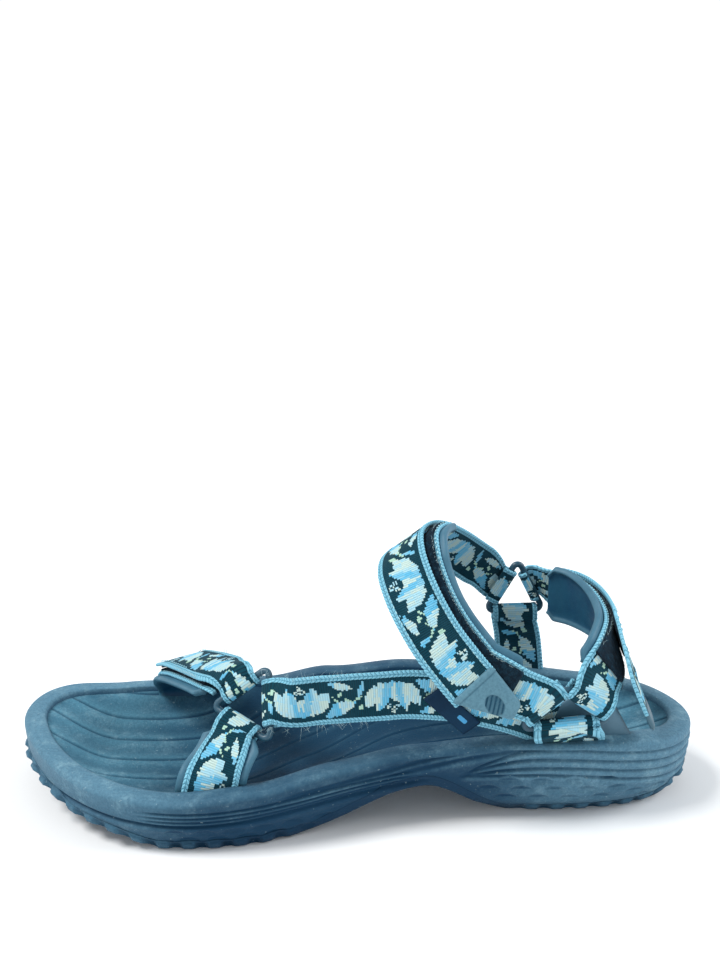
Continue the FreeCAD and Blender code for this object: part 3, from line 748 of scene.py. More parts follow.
# The straps that a flap turns past are narrower at their ring.
web("toe_strap_outer", outer_toe, 3, None, looped(True, 16.5), 2, dish=([-32, -20, -12], [0.0, 1.5, 0.2]))
web("toe_strap_inner", inner_toe, 3, -1, ([-12, -2], [WEBBING, LOOP_WIDTH]), 9)
web("toe_flap", toe_flap, 0, None, ([14, 25], [15.5, 20.6]), 60, "toe_flap",
    dish=([5, 12, 22, 34], [0.2, 3.2, 2.6, 0.5]))
web("side_strap", side, 0, None, looped(False, 17.5), -9, wave=0.5, dish=([9, 17, 34], [0.2, 1.7, 0.0]))
web("outer_anchor", outer_anchor, 0, None, ([15, 24], [ANCHOR_WIDTH, 25.0]), 20)
web("inner_anchor", inner_anchor, 0, None, looped(True), 40, wave=0.4)
web("instep_base", instep_base, 0, None, looped(False), 30)
instep_web = web("instep_strap", instep, 0, flap_end + 2, looped(False, 16.0), 10, None,
                 ["instep_strap_inner", "instep_flap"])
fold_place, fold_along = instep.frame(fold)[:2]
metres(fold_place - fold_along * FOLD_REACH)
metres(fold_place + fold_along * FOLD_REACH)
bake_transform(instep_web)
web("heel_base", heel_base, 0, None, looped(False), 5)
web("heel_flap", heel_flap, 0, -7, ([12, 24, -22, -7], [13.5, WEBBING, WEBBING, 15.5]), 50, "heel_flap")

# ---- linings and tapes ----
PAD_MARKS = [-1, -0.99, -0.965, -0.93, -0.88, -0.82, -0.75] + [-0.6 + 0.2 * i for i in range(7)]
PAD_MARKS += [0.75, 0.82, 0.88, 0.93, 0.965, 0.99, 1]


def pad_section(thickness, bead):
    """A strap lining: flat on the strap's side, with a rounded bead along each edge of the foot's side."""
    plain = slab_height(thickness, 0.12)
    section = [(a, plain(a)) for a in PAD_MARKS]
    for a in PAD_MARKS[::-1][1:-1]:
        rise = bead * (math.exp(-((abs(a) - 0.9) / 0.07) ** 2) - 0.45)
        section.append((a, -plain(a) - rise * (1 if abs(a) < 0.97 else 0.4)))
    return section


def lining(node, path, start, end, bead):
    end = path.mark(end)
    ends = ([start, start + 3, end - 3, end],
            [LINING_WIDTH - 6, LINING_WIDTH, LINING_WIDTH, LINING_WIDTH - 6])
    piece = strip(node + "_pad", path, start, end, pad_section(LINING, bead), LINING_WIDTH,
                  outward=-LINING_STEP, widths=ends, step=0.6, wave=0.15, seed=3)
    finish_piece(piece, "sandal", "lining_foam", lining_foam, node)


lining("toe_lining_outer", outer_toe, 7, -17, 0.7)
lining("toe_lining_inner", inner_toe, 7, -8, 0.7)
lining("instep_lining", instep_base, 26, None, 1.2)
lining("heel_lining", heel_base, 23, heel_base.total + 0.5, 1.5)

# Each half of a closure: its thickness, how far it lies off the strap's middle, how rough it
# is and what it is made of.
TAPE_HALVES = {"loop": (LOOP_PILE, LOOP_STEP, 0.22, loop_tape),
               "hook": (HOOK_TAPE, -HOOK_STEP, 0.10, hook_tape)}


def tape(place, half, path, start, end, body="sandal"):
    """A half of a closure: loops on the outside of what stays, hooks on the inside of a flap."""
    thickness, outward, rough, material = TAPE_HALVES[half]
    section = strap_section(slab_height(thickness, 0.08), PAD_MARKS)
    piece = strip(f"{place}_{half}_pile", path, start, end, section, TAPE_WIDTH, outward=outward,
                  step=0.6, rough=rough, seed=5)
    finish_piece(piece, body, half + "_tape", material, f"{place}_{half}_tape")


tape("toe", "loop", inner_toe, 24, -6)
tape("toe", "hook", toe_flap, -32, -1.5, "toe_flap")
tape("instep", "loop", instep_base, 26, -1)
tape("instep", "hook", instep, flap_end - 46, flap_end - 2, "instep_flap")
tape("heel", "loop", heel_base, 27, -1)
tape("heel", "hook", heel_flap, -66, -32, "heel_flap")

# ---- nodes that stay as the frame has them ----
KEPT_NODES = {"front_ring": ring_plastic, "outer_ankle_ring": ring_plastic,
              "inner_ankle_ring": ring_plastic, "arch_shank": ring_plastic,
              "heel_cushion": footbed_foam}
for name, material in KEPT_NODES.items():
    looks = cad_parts[name].data.materials
    looks.clear()
    looks.append(material)

# ---- sole ----
SOLE_OUTLINE = [
    (-134, 3), (-130, 17), (-119, 28), (-100, 34.5), (-78, 36), (-50, 34.5), (-20, 34.5), (8, 40),
    (32, 47), (55, 50.5), (75, 49.5), (93, 44), (110, 32), (124, 16), (133, -1), (136.4, -15),
    (133, -31), (122, -42.5), (104, -48.5), (84, -50.5), (62, -47.5), (38, -41), (12, -35.5),
    (-15, -33.5), (-45, -33.5), (-78, -35), (-100, -33), (-119, -25), (-130, -12)]
RIM_X = [-134, -100, -60, -20, 10, 40, 70, 100, 136]
RIM_OUTER = [30, 33.4, 33.8, 30.5, 27.5, 24, 22, 23.5, 28]
RIM_INNER = [30, 31, 35, 39, 36, 29, 23.5, 24, 28]
FLOOR_X = [-134, -95, -50, -15, 20, 60, 95, 134]
FLOOR_Z = [25, 23, 25, 26, 20, 15, 17, 24.5]
UNDER_X = [-134, -112, -95, -62, -24, 28, 45, 68, 104, 134]
UNDER_Z = [7, 0, -GROUND_CUT, -GROUND_CUT, 14, 1, -GROUND_CUT, -GROUND_CUT, 7, 14]
WALL_Z = [-8, 0, 8, 18, 30, 46]            # heights at which the wall's lean is known
WALL_INSET = [9, 5.5, 2, 0.8, 0, 0.3]      # how far it is drawn in there
WALL_SQUEEZE = [2, 1.5, 1, 0.2, 0, 0]      # further on the long sides
WALL_TUCK = [6, 4.5, 1.5, 0, 0, 0]         # and further on the sides of the heel

LIP = 2.2                  # radius of the rim's rounded outer edge
STEP_DOWN = 1.9            # from the rim to the footbed's edge
RIM_CROWN = 0.5
DISH_POWER = 2.6           # the footbed is flat in its middle and rises to its edge
FOOTBED_THICKNESS = 2.2
BED_DROP = 2.6             # from the footbed's top to the foam under it

AROUND = 1100              # places round each row of the sole's meshes
WALL_ROWS, FOOTBED_ROWS, TREAD_ROWS, BAND_ROWS = 84, 77, 60, 16


def closed_curve(points, count):
    """Evenly spaced places on the smooth closed curve through points."""
    p = np.array(points, float)
    after = np.roll(p, -1, 0)
    h = np.linalg.norm(after - p, axis=1)
    slope = (after - p) / h[:, None]
    to_next = np.roll(np.diag(h), 1, 1)
    system = np.diag(2 * (h + np.roll(h, 1))) + to_next + to_next.T
    bend = np.linalg.solve(system, 6 * (slope - np.roll(slope, 1, 0)))
    b = np.linspace(0, 1, 40, endpoint=False)[:, None]
    a = 1 - b
    fine = [a * p[i] + b * after[i] + ((a ** 3 - a) * bend[i] + (b ** 3 - b) * next_bend) * h[i] ** 2 / 6
            for i, next_bend in enumerate(np.roll(bend, -1, 0))]
    fine = np.concatenate(fine + [p[:1]])
    s = np.concatenate([[0], np.cumsum(np.linalg.norm(np.diff(fine, axis=0), axis=1))])
    marks = np.linspace(0, s[-1], count, endpoint=False)
    return np.stack([np.interp(marks, s, fine[:, k]) for k in (0, 1)], 1), marks, s[-1]


edge, edge_run, edge_total = closed_curve(SOLE_OUTLINE, AROUND)
edge_way = np.roll(edge, -1, 0) - np.roll(edge, 1, 0)
edge_way /= np.linalg.norm(edge_way, axis=1)[:, None]
inward = np.stack([edge_way[:, 1], -edge_way[:, 0]], 1)
from_heel = np.minimum(edge_run, edge_total - edge_run)
outer_side = edge_run < edge_total / 2


def rim_height(x, y):
    share = ease([-30, 30], [0, 1], y)
    return ease(RIM_X, RIM_INNER, x) * (1 - share) + ease(RIM_X, RIM_OUTER, x) * share


def under_height(x, y):
    arch = ease([-62, -24, 28], [0, 1, 0], x)
    return np.maximum(0, ease(UNDER_X, UNDER_Z, x) + ARCH_LIFT * arch * ease([8, 32], [0, 1], y))


def wall_inset(z):
    """How far the wall stands in from the outline at height z, an array for the places round it."""
    tucked = ease([-50, -20], [1, 0], edge[:, 0])
    sides = np.abs(edge_way[:, 0])
    return (flowing(WALL_Z, WALL_INSET, z)
            + (flowing(WALL_Z, WALL_SQUEEZE, z) + flowing(WALL_Z, WALL_TUCK, z) * tucked) * sides)


def painted_light_along(x):
    """Painted light and shade along the sole: toe and heel lighter, the arch darker."""
    return ease([-125, -80, -35, 35, 105], [0.34, 0.18, -0.46, -0.46, 0.10], x)


def valley(distance, width):
    """1 at no distance, falling smoothly to 0 a few widths away."""
    return np.exp(-(distance / width) ** 2)


def from_nearest(distance, pitch):
    """Distance from the nearest multiple of the pitch."""
    return (distance / pitch - np.round(distance / pitch)) * pitch


# Moulded lines round the heel: (distance from the heel along the edge, height).
HEEL_LINES = [
    [(0, 25.5), (30, 26.5), (50, 29), (72, 31.5), (84, 31.6), (91, 30.6), (101, 27.0), (112, 21.4)],
    [(0, 21.5), (30, 22.5), (50, 25.2), (72, 27.4), (87, 27.6), (99, 25.6), (113, 21.0)],
    [(0, 17.2), (30, 18.5), (50, 21.2), (64, 23.2), (82, 24.0), (95, 23.2), (114, 20.6)],
    [(0, 12.6), (30, 14.2), (50, 17.5), (64, 19.8), (80, 20.9), (96, 20.8), (115, 20.2)]]
# Moulded lines round the outer forefoot: (x, height).
FRONT_LINES = [
    [(-18, 23.5), (0, 21.6), (25, 19.5), (45, 18.0), (65, 17.4), (82, 17.8)],
    [(-20, 22.0), (0, 20.0), (25, 17.6), (45, 16.2), (65, 15.6), (84, 16.0)],
    [(-22, 20.6), (0, 18.3), (25, 15.8), (45, 14.4), (65, 13.9), (86, 14.4)]]
# Swooping lines on the outer wall beside the arch: (x, height).
MID_LINES = [[(-62, 33.4), (-45, 32.0), (-28, 28.8), (-8, 24.6), (12, 21.8), (34, 20.0)],
             [(-80, 33.2), (-60, 31.6), (-42, 28.6), (-25, 25.2), (-8, 22.6)]]
HEEL_WALL = 125            # the heel's lines and dents end this far from the heel along the edge
WALL_TONE = 0.42
LONG_LINE = [(-24, 19.5), (0, 17.0), (25, 14.4), (45, 12.6), (65, 11.9), (82, 12.4), (100, 13.4),
             (122, 14.6), (134, 16.5)]
# Rows of oval dents: (start, spacing, count, height), measured from the heel or in x.
HEEL_DENTS = [(57, 12.5, 4, 16.6), (52, 12.5, 5, 12.2), (58, 12.5, 4, 7.8), (8, 12, 4, 9.0),
              (14, 12, 3, 5.2)]
FRONT_DENTS = [(14, 11, 6, 8.8), (20, 11, 5, 5.0)]


def moulded(line, beside, z, *cuts):
    """What a moulded line takes from the wall and from its tone, at heights z; what it takes from the tone
    is painted shade in the groove, with a painted highlight on the ridge under it.

    beside is how far along the line each place is. A cut is a groove's depth and width, then
    the height of the ridge under it, how far under it is and its width.
    """
    along, height = zip(*line)
    gap = z - flowing(along, height, np.clip(beside, along[0], along[-1]))
    return np.array([depth * valley(gap, width) - ridge * valley(gap + under, ridge_width)
                     for depth, width, ridge, under, ridge_width in cuts])


def dented(rows, beside, z, half_length, half_height, depth, dark):
    """What rows of oval dents take from the wall and from its tone, at heights z: painted shade over the
    upper half of each dent.
    """
    taken = np.zeros((2, AROUND))
    for start, spacing, count, height in rows:
        for i in range(count):
            u = (beside - start - i * spacing) / half_length
            w = (z - height) / half_height
            dent = np.maximum(0, 1 - u * u - w * w)
            taken += np.sqrt(dent) * (0.55 + 0.5 * w) * depth, dark * dent * (w > 0)
    return taken


def wall_relief(z, height_share):
    """How far the wall stands out of its plain shape at heights z, and its tone: wear with painted light
    and shade.
    """
    x = edge[:, 0]
    behind = from_heel < HEEL_WALL
    # the second row is the tone: a base level, with painted light and shade along the sole
    relief = np.stack([np.zeros(AROUND), WALL_TONE + painted_light_along(x)])
    # in each moulded line the first cut carves the wall; the second paints shade in the groove and a
    # highlight on the ridge under it
    for line in HEEL_LINES:
        fade = ease([line[-1][0] - 6, line[-1][0]], [1, 0], from_heel) * behind
        relief -= fade * moulded(line, from_heel, z, (0.85, 0.55, 0.30, 1.5, 0.9),
                                 (0.30, 0.6, 0.22, 1.3, 0.8))
    for line in FRONT_LINES:
        fade = ease([-24, -12, 74, 86], [0, 1, 1, 0], x) * np.where(outer_side, 1.0, 0.85) * ~behind
        relief -= fade * moulded(line, x, z, (0.7, 0.5, 0.25, 1.2, 0.7), (0.28, 0.5, 0.18, 1.0, 0.7))
    for line in MID_LINES:
        ends = [line[0][0], line[0][0] + 14, line[-1][0] - 14, line[-1][0]]
        fade = ease(ends, [0, 1, 1, 0], x) * outer_side
        relief -= fade * moulded(line, x, z, (0.9, 1.1, 0.3, 2.2, 1.4), (0.25, 0.9, 0.20, 1.8, 1.0))
    fade = ease([-30, -16], [0, 1], x) * ~behind
    relief -= fade * moulded(LONG_LINE, x, z, (1.1, 0.7, 0.5, 2.0, 1.2), (0.35, 0.7, 0, 0, 1))
    # painted shade on the upper half of each dent
    relief -= dented(HEEL_DENTS, from_heel, z - 0.02 * from_heel, 4.4, 2.0, 1.5, 0.30) * behind
    relief -= dented(FRONT_DENTS, x, z, 4.2, 1.8, 1.3, 0.28) * ~behind
    # the tone grows lighter towards the top of the wall
    return relief[0], relief[1] + 0.25 * height_share


class Rows:
    """Closed rows of AROUND places, each inside or above the last, and the tone of each place: wear with
    painted light and shade.
    """

    def __init__(self):
        self.places, self.wear_and_light = [], []

    def add(self, xy, z, wear_and_light):
        self.places.append(np.column_stack([xy, np.broadcast_to(z, AROUND)]))
        self.wear_and_light.append(np.broadcast_to(wear_and_light, AROUND))

    def piece(self, name):
        """The first and last rows are folded flat on the sole's middle line, which closes the piece."""
        return mesh_piece(name, np.concatenate(self.places).tolist(), row_faces(len(self.places), AROUND),
                          wear_and_light=np.concatenate(self.wear_and_light))


def at_inset(inset):
    """The outline, moved inward."""
    return edge + inward * np.asarray(inset, float).reshape(-1, 1)


tread_top = under_height(*edge.T) + OUTSOLE_THICKNESS
rim_edge = rim_height(*edge.T)


def footbed_floor(x):
    return ease(FLOOR_X, FLOOR_Z, x)


def spine_of(xy):
    """Middle line of the sole beside each place."""
    x = np.clip(xy[:, 0] * 0.93, -98, 98)
    x = (x + np.roll(x[::-1], 1)) / 2          # both sides of the edge meet at the same places
    y = flowing([-98, -50, 0, 50, 98], [1, 0.5, 2, 2, -6], x)
    return np.stack([x, y], 1)


# The line that the footbed's grooves follow: (x, sideways shift).
GROOVE_X = [-134, -70, -45, -20, 0, 20, 40, 68, 95, 115, 140]
GROOVE_SHIFT = [-66, -61, -57, -49, -37.5, -25, -12, -2, 0, -5, -22]
GROOVE_PITCH = 16.0
GROOVE_DEPTH, GROOVE_WIDTH = 0.8, 0.62
GROOVE_SWELL = 0.35        # between its grooves the footbed dips by twice this
LUG_EDGE = 10.2            # pitch of the lugs along the tread's edge
LUG_PITCH, LUG_WIDTH = 10.5, 13            # of the lugs underneath
CHANNEL = 2.0              # depth of the channels between them


def build_midsole():
    rows = Rows()
    border = at_inset(RIM_WIDTH)
    spine = spine_of(border)
    rim_here = rim_height(*border.T)
    low = footbed_floor(border[:, 0])
    # painted light and shade along the sole: toe and heel lighter, the arch darker
    dust_and_light = painted_light_along(edge[:, 0])
    for r in (0.0, 0.4, 0.75, 1.0):                 # the underside, on the tread
        xy = spine + (at_inset(RIM_WIDTH + 1) - spine) * r
        rows.add(xy, under_height(*xy.T) + OUTSOLE_THICKNESS, 0)
    wall_top = rim_edge - LIP
    for i in range(WALL_ROWS + 1):
        share = i / WALL_ROWS
        z = tread_top + (wall_top - tread_top) * share
        relief, lit_and_worn = wall_relief(z, share)
        rows.add(at_inset(wall_inset(z) - relief), z, lit_and_worn)
    top_inset = wall_inset(wall_top)
    for angle in range(10, 91, 10):                 # the rim: its lip, its top and its inner side; the lip is painted lighter as it turns to face up
        turn = math.radians(angle)
        xy = at_inset(top_inset + LIP * (1 - math.cos(turn)))
        rows.add(xy, wall_top + LIP * math.sin(turn), 0.7 + 0.2 * math.sin(turn) + dust_and_light)
    for inset in np.linspace(LIP + 0.8, RIM_WIDTH - 0.9, 9):
        xy = at_inset(top_inset + inset)
        crown = RIM_CROWN * math.sin((inset - LIP) / (RIM_WIDTH - LIP) * math.pi)
        rows.add(xy, rim_height(*xy.T) + crown, 0.85 + dust_and_light)
    # painted shadow: the inner side darkens down the step to the footbed
    for past, drop, lit_and_worn in ((-0.4, 0.25, 0.8), (0, 0.9, 0.4), (0.2, 2.4, 0.1)):
        rows.add(at_inset(RIM_WIDTH + past), rim_here - drop, lit_and_worn + dust_and_light)
    for r in (0.9, 0.5, 0.0):                       # the bed that the footbed lies on
        xy = spine + (border - spine) * r
        bed = footbed_floor(xy[:, 0]) + (rim_here - STEP_DOWN - low) * r ** DISH_POWER - BED_DROP
        rows.add(xy, bed, 0)
    return rows.piece("midsole_body")


def build_footbed():
    """The footbed: its underside from the middle out, then its grooved top back to the middle."""
    rows = Rows()
    border = at_inset(RIM_WIDTH)
    spine = spine_of(border)
    rim_here = rim_height(*border.T)
    under = [(i / 5, FOOTBED_THICKNESS) for i in range(6)]
    for r, drop in under + [(1 - i / FOOTBED_ROWS, 0) for i in range(FOOTBED_ROWS + 1)]:
        xy = spine + (border - spine) * r
        low = footbed_floor(xy[:, 0])
        z = low + (rim_here - STEP_DOWN - low) * r ** DISH_POWER
        lane = xy[:, 1] - flowing(GROOVE_X, GROOVE_SHIFT, xy[:, 0]) - GROOVE_PITCH / 2
        gap = from_nearest(lane, GROOVE_PITCH)
        inner = ease([0.0, 0.93, 1.0], [1, 1, 0], r)
        swell = np.cos(gap / GROOVE_PITCH * 2 * np.pi)
        z = z - inner * GROOVE_DEPTH * valley(gap, GROOVE_WIDTH) + inner * GROOVE_SWELL * swell
        # painted light and shade along the sole, painted shade in the grooves and painted light on the
        # swells between them
        dust_and_light = 1.05 * np.minimum(0.1, painted_light_along(xy[:, 0]))
        rows.add(xy, z - drop, 0.55 + dust_and_light - 0.5 * valley(gap, 0.8) + 0.12 * swell)
    return rows.piece("footbed_top")


def build_outsole():
    """The tread: rows of lugs underneath, and a band round the edge with small lugs."""
    rows = Rows()
    turns = edge_run / edge_total * round(edge_total / LUG_EDGE) * 2 * np.pi
    smooth_arch = ease([-68, -54, 14, 32], [1, 0, 0, 1], edge[:, 0])
    lugs = np.clip(np.sin(turns) * 1.7 + 0.35, -1, 1) * smooth_arch
    # painted light: the band grows lighter towards the toe
    toe_light = 0.22 * ease([20, 95], [0, 1], edge[:, 0])
    base = under_height(*edge.T)
    near = at_inset(wall_inset(base) + 1.0)
    spine = spine_of(near)
    for i in range(TREAD_ROWS):
        r = i / (TREAD_ROWS - 1)
        xy = spine + (near - spine) * r
        cut = np.maximum(valley(from_nearest(xy[:, 0] + 0.0015 * xy[:, 1] ** 2, LUG_PITCH), 1.5),
                         valley(from_nearest(xy[:, 1], LUG_WIDTH), 1.1))
        treaded = ease([-66, -52, 18, 34], [1, 0, 0, 1], xy[:, 0])
        rows.add(xy, under_height(*xy.T) + CHANNEL * cut * treaded * min(1, (1 - r) * 12), 0.35)
    for i in range(BAND_ROWS):
        share = i / (BAND_ROWS - 1)
        z = base + (tread_top - 0.15 - base) * share
        relief, lit_and_worn = wall_relief(z, 0)
        stand = lugs * ease([0, 0.15, 0.6, 0.9], [0.4, 1, 1, 0], share) + 0.25 * smooth_arch
        # painted shade between the lugs and painted light on them
        rows.add(at_inset(wall_inset(z) - stand - relief), z, lit_and_worn * 0.8 + toe_light + 0.12 * lugs)
    for r in (0.97, 0.5, 0.0):                      # its top, against the midsole
        xy = spine + (at_inset(RIM_WIDTH) - spine) * r
        rows.add(xy, under_height(*xy.T) + OUTSOLE_THICKNESS - 0.3, 0)
    return rows.piece("outsole_tread")


finish_piece(build_midsole(), "sandal", "midsole_foam", midsole_foam, "midsole")
finish_piece(build_footbed(), "sandal", "footbed_foam", footbed_foam, "footbed")
finish_piece(build_outsole(), "sandal", "outsole_rubber", outsole_rubber, "outsole")

# ---- tabs, label and gusset ----
def rounded_plate(name, place, along, across, normal, outline, thickness, carve=None, rings=26,
                  corner=2.2):
    """A plate with rounded corners and edges; outline holds (along, across) corners.

    carve(u, v) gives how much deeper than its plain face the outer face is there.
    """
    points = [np.array(p, float) for p in outline]
    around = []
    for i in range(len(points)):
        here, before, after = points[i], points[i - 1], points[(i + 1) % len(points)]
        start = here + (before - here) / np.linalg.norm(before - here) * corner
        end = here + (after - here) / np.linalg.norm(after - here) * corner
        for t in np.linspace(0, 1, 9):
            around.append(start * (1 - t) ** 2 + here * 2 * t * (1 - t) + end * t * t)
    loop = []
    for a, b in zip(around, around[1:] + around[:1]):
        pieces = max(1, int(np.linalg.norm(b - a) / 0.4))
        loop += [a + (b - a) * k / pieces for k in range(pieces)]
    loop = np.array(loop)
    middle = loop.mean(0)
    places, wear_and_light = [], []
    radii = [(i / rings, 1) for i in range(rings + 1)] + [(1 - i / 6, -1) for i in range(1, 7)]
    for r, face in radii:
        for p in loop:
            u, v = middle + (p - middle) * r
            rise = thickness / 2 * math.sqrt(max(0.0, 1 - r ** 8)) * face
            depth = carve(u, v) if face > 0 and carve else 0.0
            rise -= depth
            # painted shade: the tone darkens where the face is carved in
            wear_and_light.append(0.72 - 1.5 * depth)
            places.append(place + along * u + across * v + normal * rise)
    return mesh_piece(name, places, row_faces(len(radii), len(loop)), wear_and_light=wear_and_light)


def tab_face(u, v):
    """The pull tab's face: an oval dish with plain slanted grooves, and ribs beside the strap."""
    du, dv = u - 10.5, v - 1.2
    inside = 1 - (du / 4.6) ** 2 - (dv / 3.4) ** 2
    depth = 0.22 * max(0.0, min(1.0, inside * 6))
    if inside > 0.12:
        depth += 0.32 * math.exp(-((math.sin((du * 0.8 + dv * 0.6) * 1.9)) / 0.5) ** 2)
    return depth + 0.2 * math.exp(-((u - 1.2) / 0.3) ** 2)


place, *ways = instep.frame(flap_end + 0.4)
tab = rounded_plate("instep_pull_tab", place + ways[2] * 0.6, *ways,
                    [(-1.2, -10), (-1.2, 10), (17.5, 9.0), (20, 2.5)], 2.6, carve=tab_face)
finish_piece(tab, "instep_flap", "tab_rubber", tab_rubber, "instep_tab")

heel_tab = rounded_plate("heel_pull_tab", *heel_flap.frame(heel_flap.mark(-6.7)),
                         [(-1.0, -7.2), (-1.0, 7.2), (8.2, 6), (8.2, -6)], 2.2, rings=8)
finish_piece(heel_tab, "heel_flap", "tab_rubber", dark_rubber, "heel_tab")

label_at = side.at((-34, 32.6, 53.2)) + 2
place, along, across, normal = side.frame(label_at)
label = rounded_plate("side_label", place + normal * (CLOTH / 2 + SEAM_GAP + 0.75), along, across, normal,
                      [(-13, -1.5), (-7.5, 4.5), (11, -8), (5.5, -14)], 1.0, rings=8, corner=0.7)
finish_piece(label, "sandal", "label_cloth", label_cloth, "woven_label")
mark_way = unit(along * 18.5 - across * 12.5)
mark_side = normal.cross(mark_way)
mark = rounded_plate("side_label_mark", place + along * 3.4 - across * 7.4 + normal * (CLOTH / 2 + 1.12),
                     mark_way, mark_side, normal, [(-2.6, -1.0), (-2.6, 1.0), (2.6, 1.0), (2.6, -1.0)], 0.5,
                     rings=6, corner=0.8)
finish_piece(mark, "sandal", "label_cloth", label_mark)

liner = rounded_plate("anchor_gusset", V((-86, 27.7, 36)), V((1, 0, 0)), V((0, 0, 1)), V((0, 1, 0)),
                      [(18, -16), (-18, -16), (-19, -5), (-7, 17), (0, 19), (14, 9)], 2.6, rings=14,
                      corner=2.5)
finish_piece(liner, "sandal", "gusset_lining", gusset_cloth, "anchor_lining")

# ---- stitching ----
TOP = CLOTH / 2 + 0.12


def edge_rows(path, start, end, off):
    """Two long rows of stitches near a strap's edges."""
    start, end = path.mark(start), path.mark(end)
    count = int((end - start) / 1.9)
    return [(start, end, -off, -off, count), (start, end, off, off, count)]


def cross_rows(path, *distances):
    """Short rows straight across a strap."""
    return [(s, s + 0.01, -7.5, 7.5, 8) for s in map(path.mark, distances)]


# Rows of stitches: on which path, of which kind and where, how much higher, and on which body.
STITCHED = [("instep_base", instep_base, edge_rows, (28, -3, 9.2), 0.1, "sandal"),
            ("heel_base", heel_base, edge_rows, (30, -4, 9.2), 0.1, "sandal"),
            ("toe_base", inner_toe, edge_rows, (26, -8, 9.2), 0.1, "sandal"),
            ("side_strap", side, cross_rows, (17, 20), 0, "sandal"),
            ("outer_toe", outer_toe, cross_rows, (-17, -20), 0, "sandal"),
            ("instep_ring", instep, cross_rows, (16, 19), 0, "sandal"),
            ("instep_flap", instep, edge_rows, (flap_end - 44, flap_end - 3, 7.9), 0, "instep_flap"),
            ("toe_flap", toe_flap, edge_rows, (-31, -2, 7.9), 0.4, "toe_flap"),
            ("heel_flap", heel_flap, edge_rows, (-65, -33, 7.9), 0, "heel_flap"),
            ("inner_anchor", inner_anchor, cross_rows, (-17, -20), 0, "sandal")]
for name, path, rows_of, where, lift, body in STITCHED:
    piece = stitches(name + "_stitches", path, rows_of(path, *where), TOP + lift)
    finish_piece(piece, body, "webbing", thread)


# ---- lint and loose threads ----
def fibres(name, roots, length, thick, seed):
    """Fine curled fibres that start at roots, each a place and a way to grow."""
    rng = random.Random(seed)
    places, faces = [], []
    points, around = 7, 3
    for root, way in roots:
        way = unit(way)
        side_way = unit(way.orthogonal())
        curl = unit(V([rng.uniform(-1, 1) for _ in range(3)]) + way * 0.3)
        size = length * rng.uniform(0.5, 1.2)
        base = len(places)
        for i in range(points):
            t = i / (points - 1)
            centre = root + way * (size * t) + curl * (size * 0.6 * t * t)
            r = thick * (1 - 0.7 * t)
            for j in range(around):
                turn = 2 * math.pi * j / around
                spoke = side_way * math.cos(turn) + way.cross(side_way) * math.sin(turn)
                places.append(centre + spoke * r)
        faces += [tuple(base + v for v in face) for face in tube_faces(points, around)]
    return mesh_piece(name, places, faces)


def edge_roots(path, start, end, off, count, seed, outward=0.7):
    """Roots for fibres at random places along both edges of a strap."""
    rng = random.Random(seed)
    roots = []
    for _ in range(count):
        place, along, across, normal = path.frame(rng.uniform(start, path.mark(end)))
        sign = rng.choice((-1, 1))
        roots.append((place + across * (off * sign) + normal * outward,
                      across * sign * rng.uniform(0.2, 1) + normal * rng.uniform(0.3, 1)
                      + along * rng.uniform(-0.8, 0.8)))
    return roots


# Lint: where it grows, its length, thickness and seed, and what it grows on.
LINT = [("side_fuzz", (side, 8, 50, 9.6, 90, 1), (3.0, 0.05, 2), "sandal", "webbing"),
        ("toe_fuzz", (toe_flap, 24, 44, 10.0, 70, 3), (3.4, 0.055, 4), "toe_flap", "webbing"),
        ("instep_pile_fuzz", (instep_base, 30, -4, 8.0, 240, 5, LOOP_STEP + 0.5),
         (1.3, 0.05, 6), "sandal", "loop_tape"),
        ("heel_pile_fuzz", (heel_base, 30, -4, 8.0, 160, 7, LOOP_STEP + 0.5),
         (1.3, 0.05, 8), "sandal", "loop_tape")]
for name, roots, hairs, body, slot in LINT:
    finish_piece(fibres(name, edge_roots(*roots), *hairs), body, slot, lint)

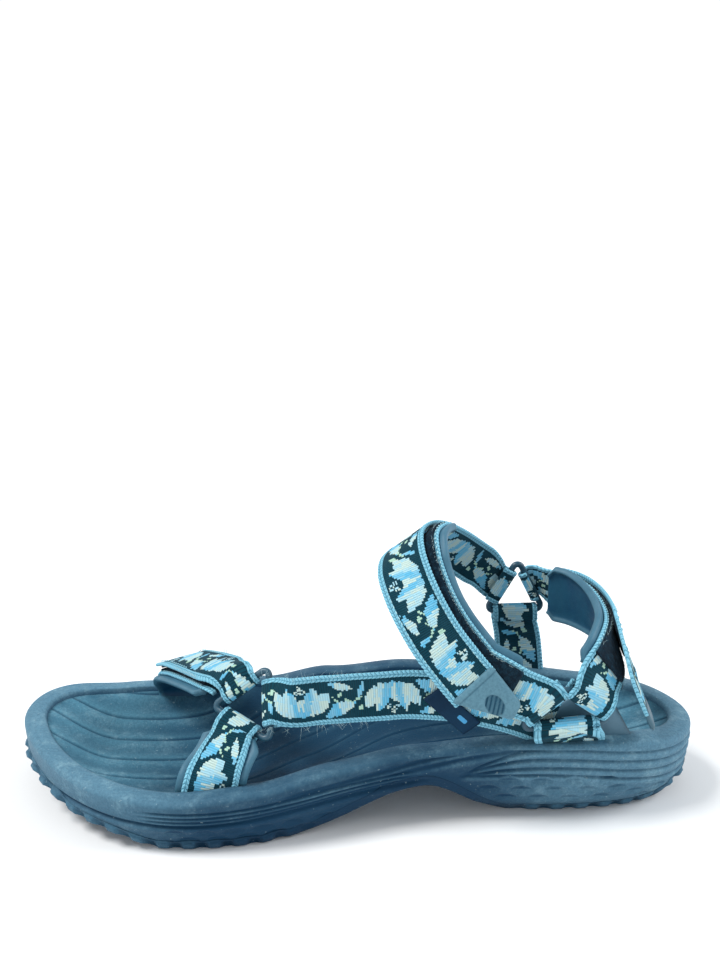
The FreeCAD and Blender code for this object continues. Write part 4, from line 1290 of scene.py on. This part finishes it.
# ---- floor, light and camera ----
floor_mesh = bpy.data.meshes.new("floor")
FLOOR_REACH = 40                           # metres from its middle to its sides
corners = [(-1, -1), (1, -1), (1, 1), (-1, 1)]
floor_mesh.from_pydata([(x * FLOOR_REACH, y * FLOOR_REACH, 0) for x, y in corners], [], [(0, 1, 2, 3)])
floor = put_in_scene("floor", floor_mesh)
floor_material, _, floor_shader = new_material("floor", 0.9, specular=0.1)
floor_shader.inputs["Base Color"].default_value = (0.86, 0.87, 0.88, 1)
floor_mesh.materials.append(floor_material)

world = bpy.data.worlds.new("studio")
world.use_nodes = True
world_tree = world.node_tree
way_up = add_node(world_tree, "TexCoord", {})
way_parts = add_node(world_tree, "SeparateXYZ", {0: way_up.outputs["Generated"]})
sky = Num(world_tree, way_parts.outputs[2]).step(0.10, 0.75) * -0.55 + 1.07
background = world_tree.nodes["Background"]
background.inputs[0].default_value = (0.965, 0.985, 1.0, 1)
world_tree.links.new(sky.socket, background.inputs[1])
bpy.context.scene.world = world


def sun(name, way, power, angle, colour):
    """Soft light that comes from the direction way."""
    light = bpy.data.lights.new(name, "SUN")
    light.energy = power
    light.angle = math.radians(angle)
    light.color = colour
    put_in_scene(name, light).rotation_euler = V(way).to_track_quat("Z", "Y").to_euler()


sun("key", (0.62, 0.05, 0.9), 2.7, 22, (1.0, 0.99, 0.97))
sun("rim", (-0.8, 0.0, 0.6), 1.7, 30, (0.94, 0.97, 1.0))

CAMERA_PLACE = (13.93, 408.33, 246.96)
CAMERA_YAW, CAMERA_PITCH, CAMERA_ROLL = -0.03871, 0.28247, -0.00797
FOCAL_LENGTH = 42.105                      # for a sensor whose longer side is 36 mm
camera_data = bpy.data.cameras.new("camera")
camera_data.sensor_width = 36.0
camera_data.lens = FOCAL_LENGTH
camera_data.clip_start = 0.02
camera = put_in_scene("camera", camera_data)
look = V((math.sin(CAMERA_YAW) * math.cos(CAMERA_PITCH), -math.cos(CAMERA_YAW) * math.cos(CAMERA_PITCH),
          -math.sin(CAMERA_PITCH)))
right = unit(look.cross(V((0, 0, 1))))
up = right.cross(look)
turned_right = right * math.cos(CAMERA_ROLL) + up * math.sin(CAMERA_ROLL)
turned_up = up * math.cos(CAMERA_ROLL) - right * math.sin(CAMERA_ROLL)
facing = Matrix((turned_right, turned_up, -look)).transposed().to_4x4()
camera.matrix_world = Matrix.Translation(V(metres(CAMERA_PLACE))) @ facing
bpy.context.scene.camera = camera
bpy.context.scene.view_settings.view_transform = "Standard"
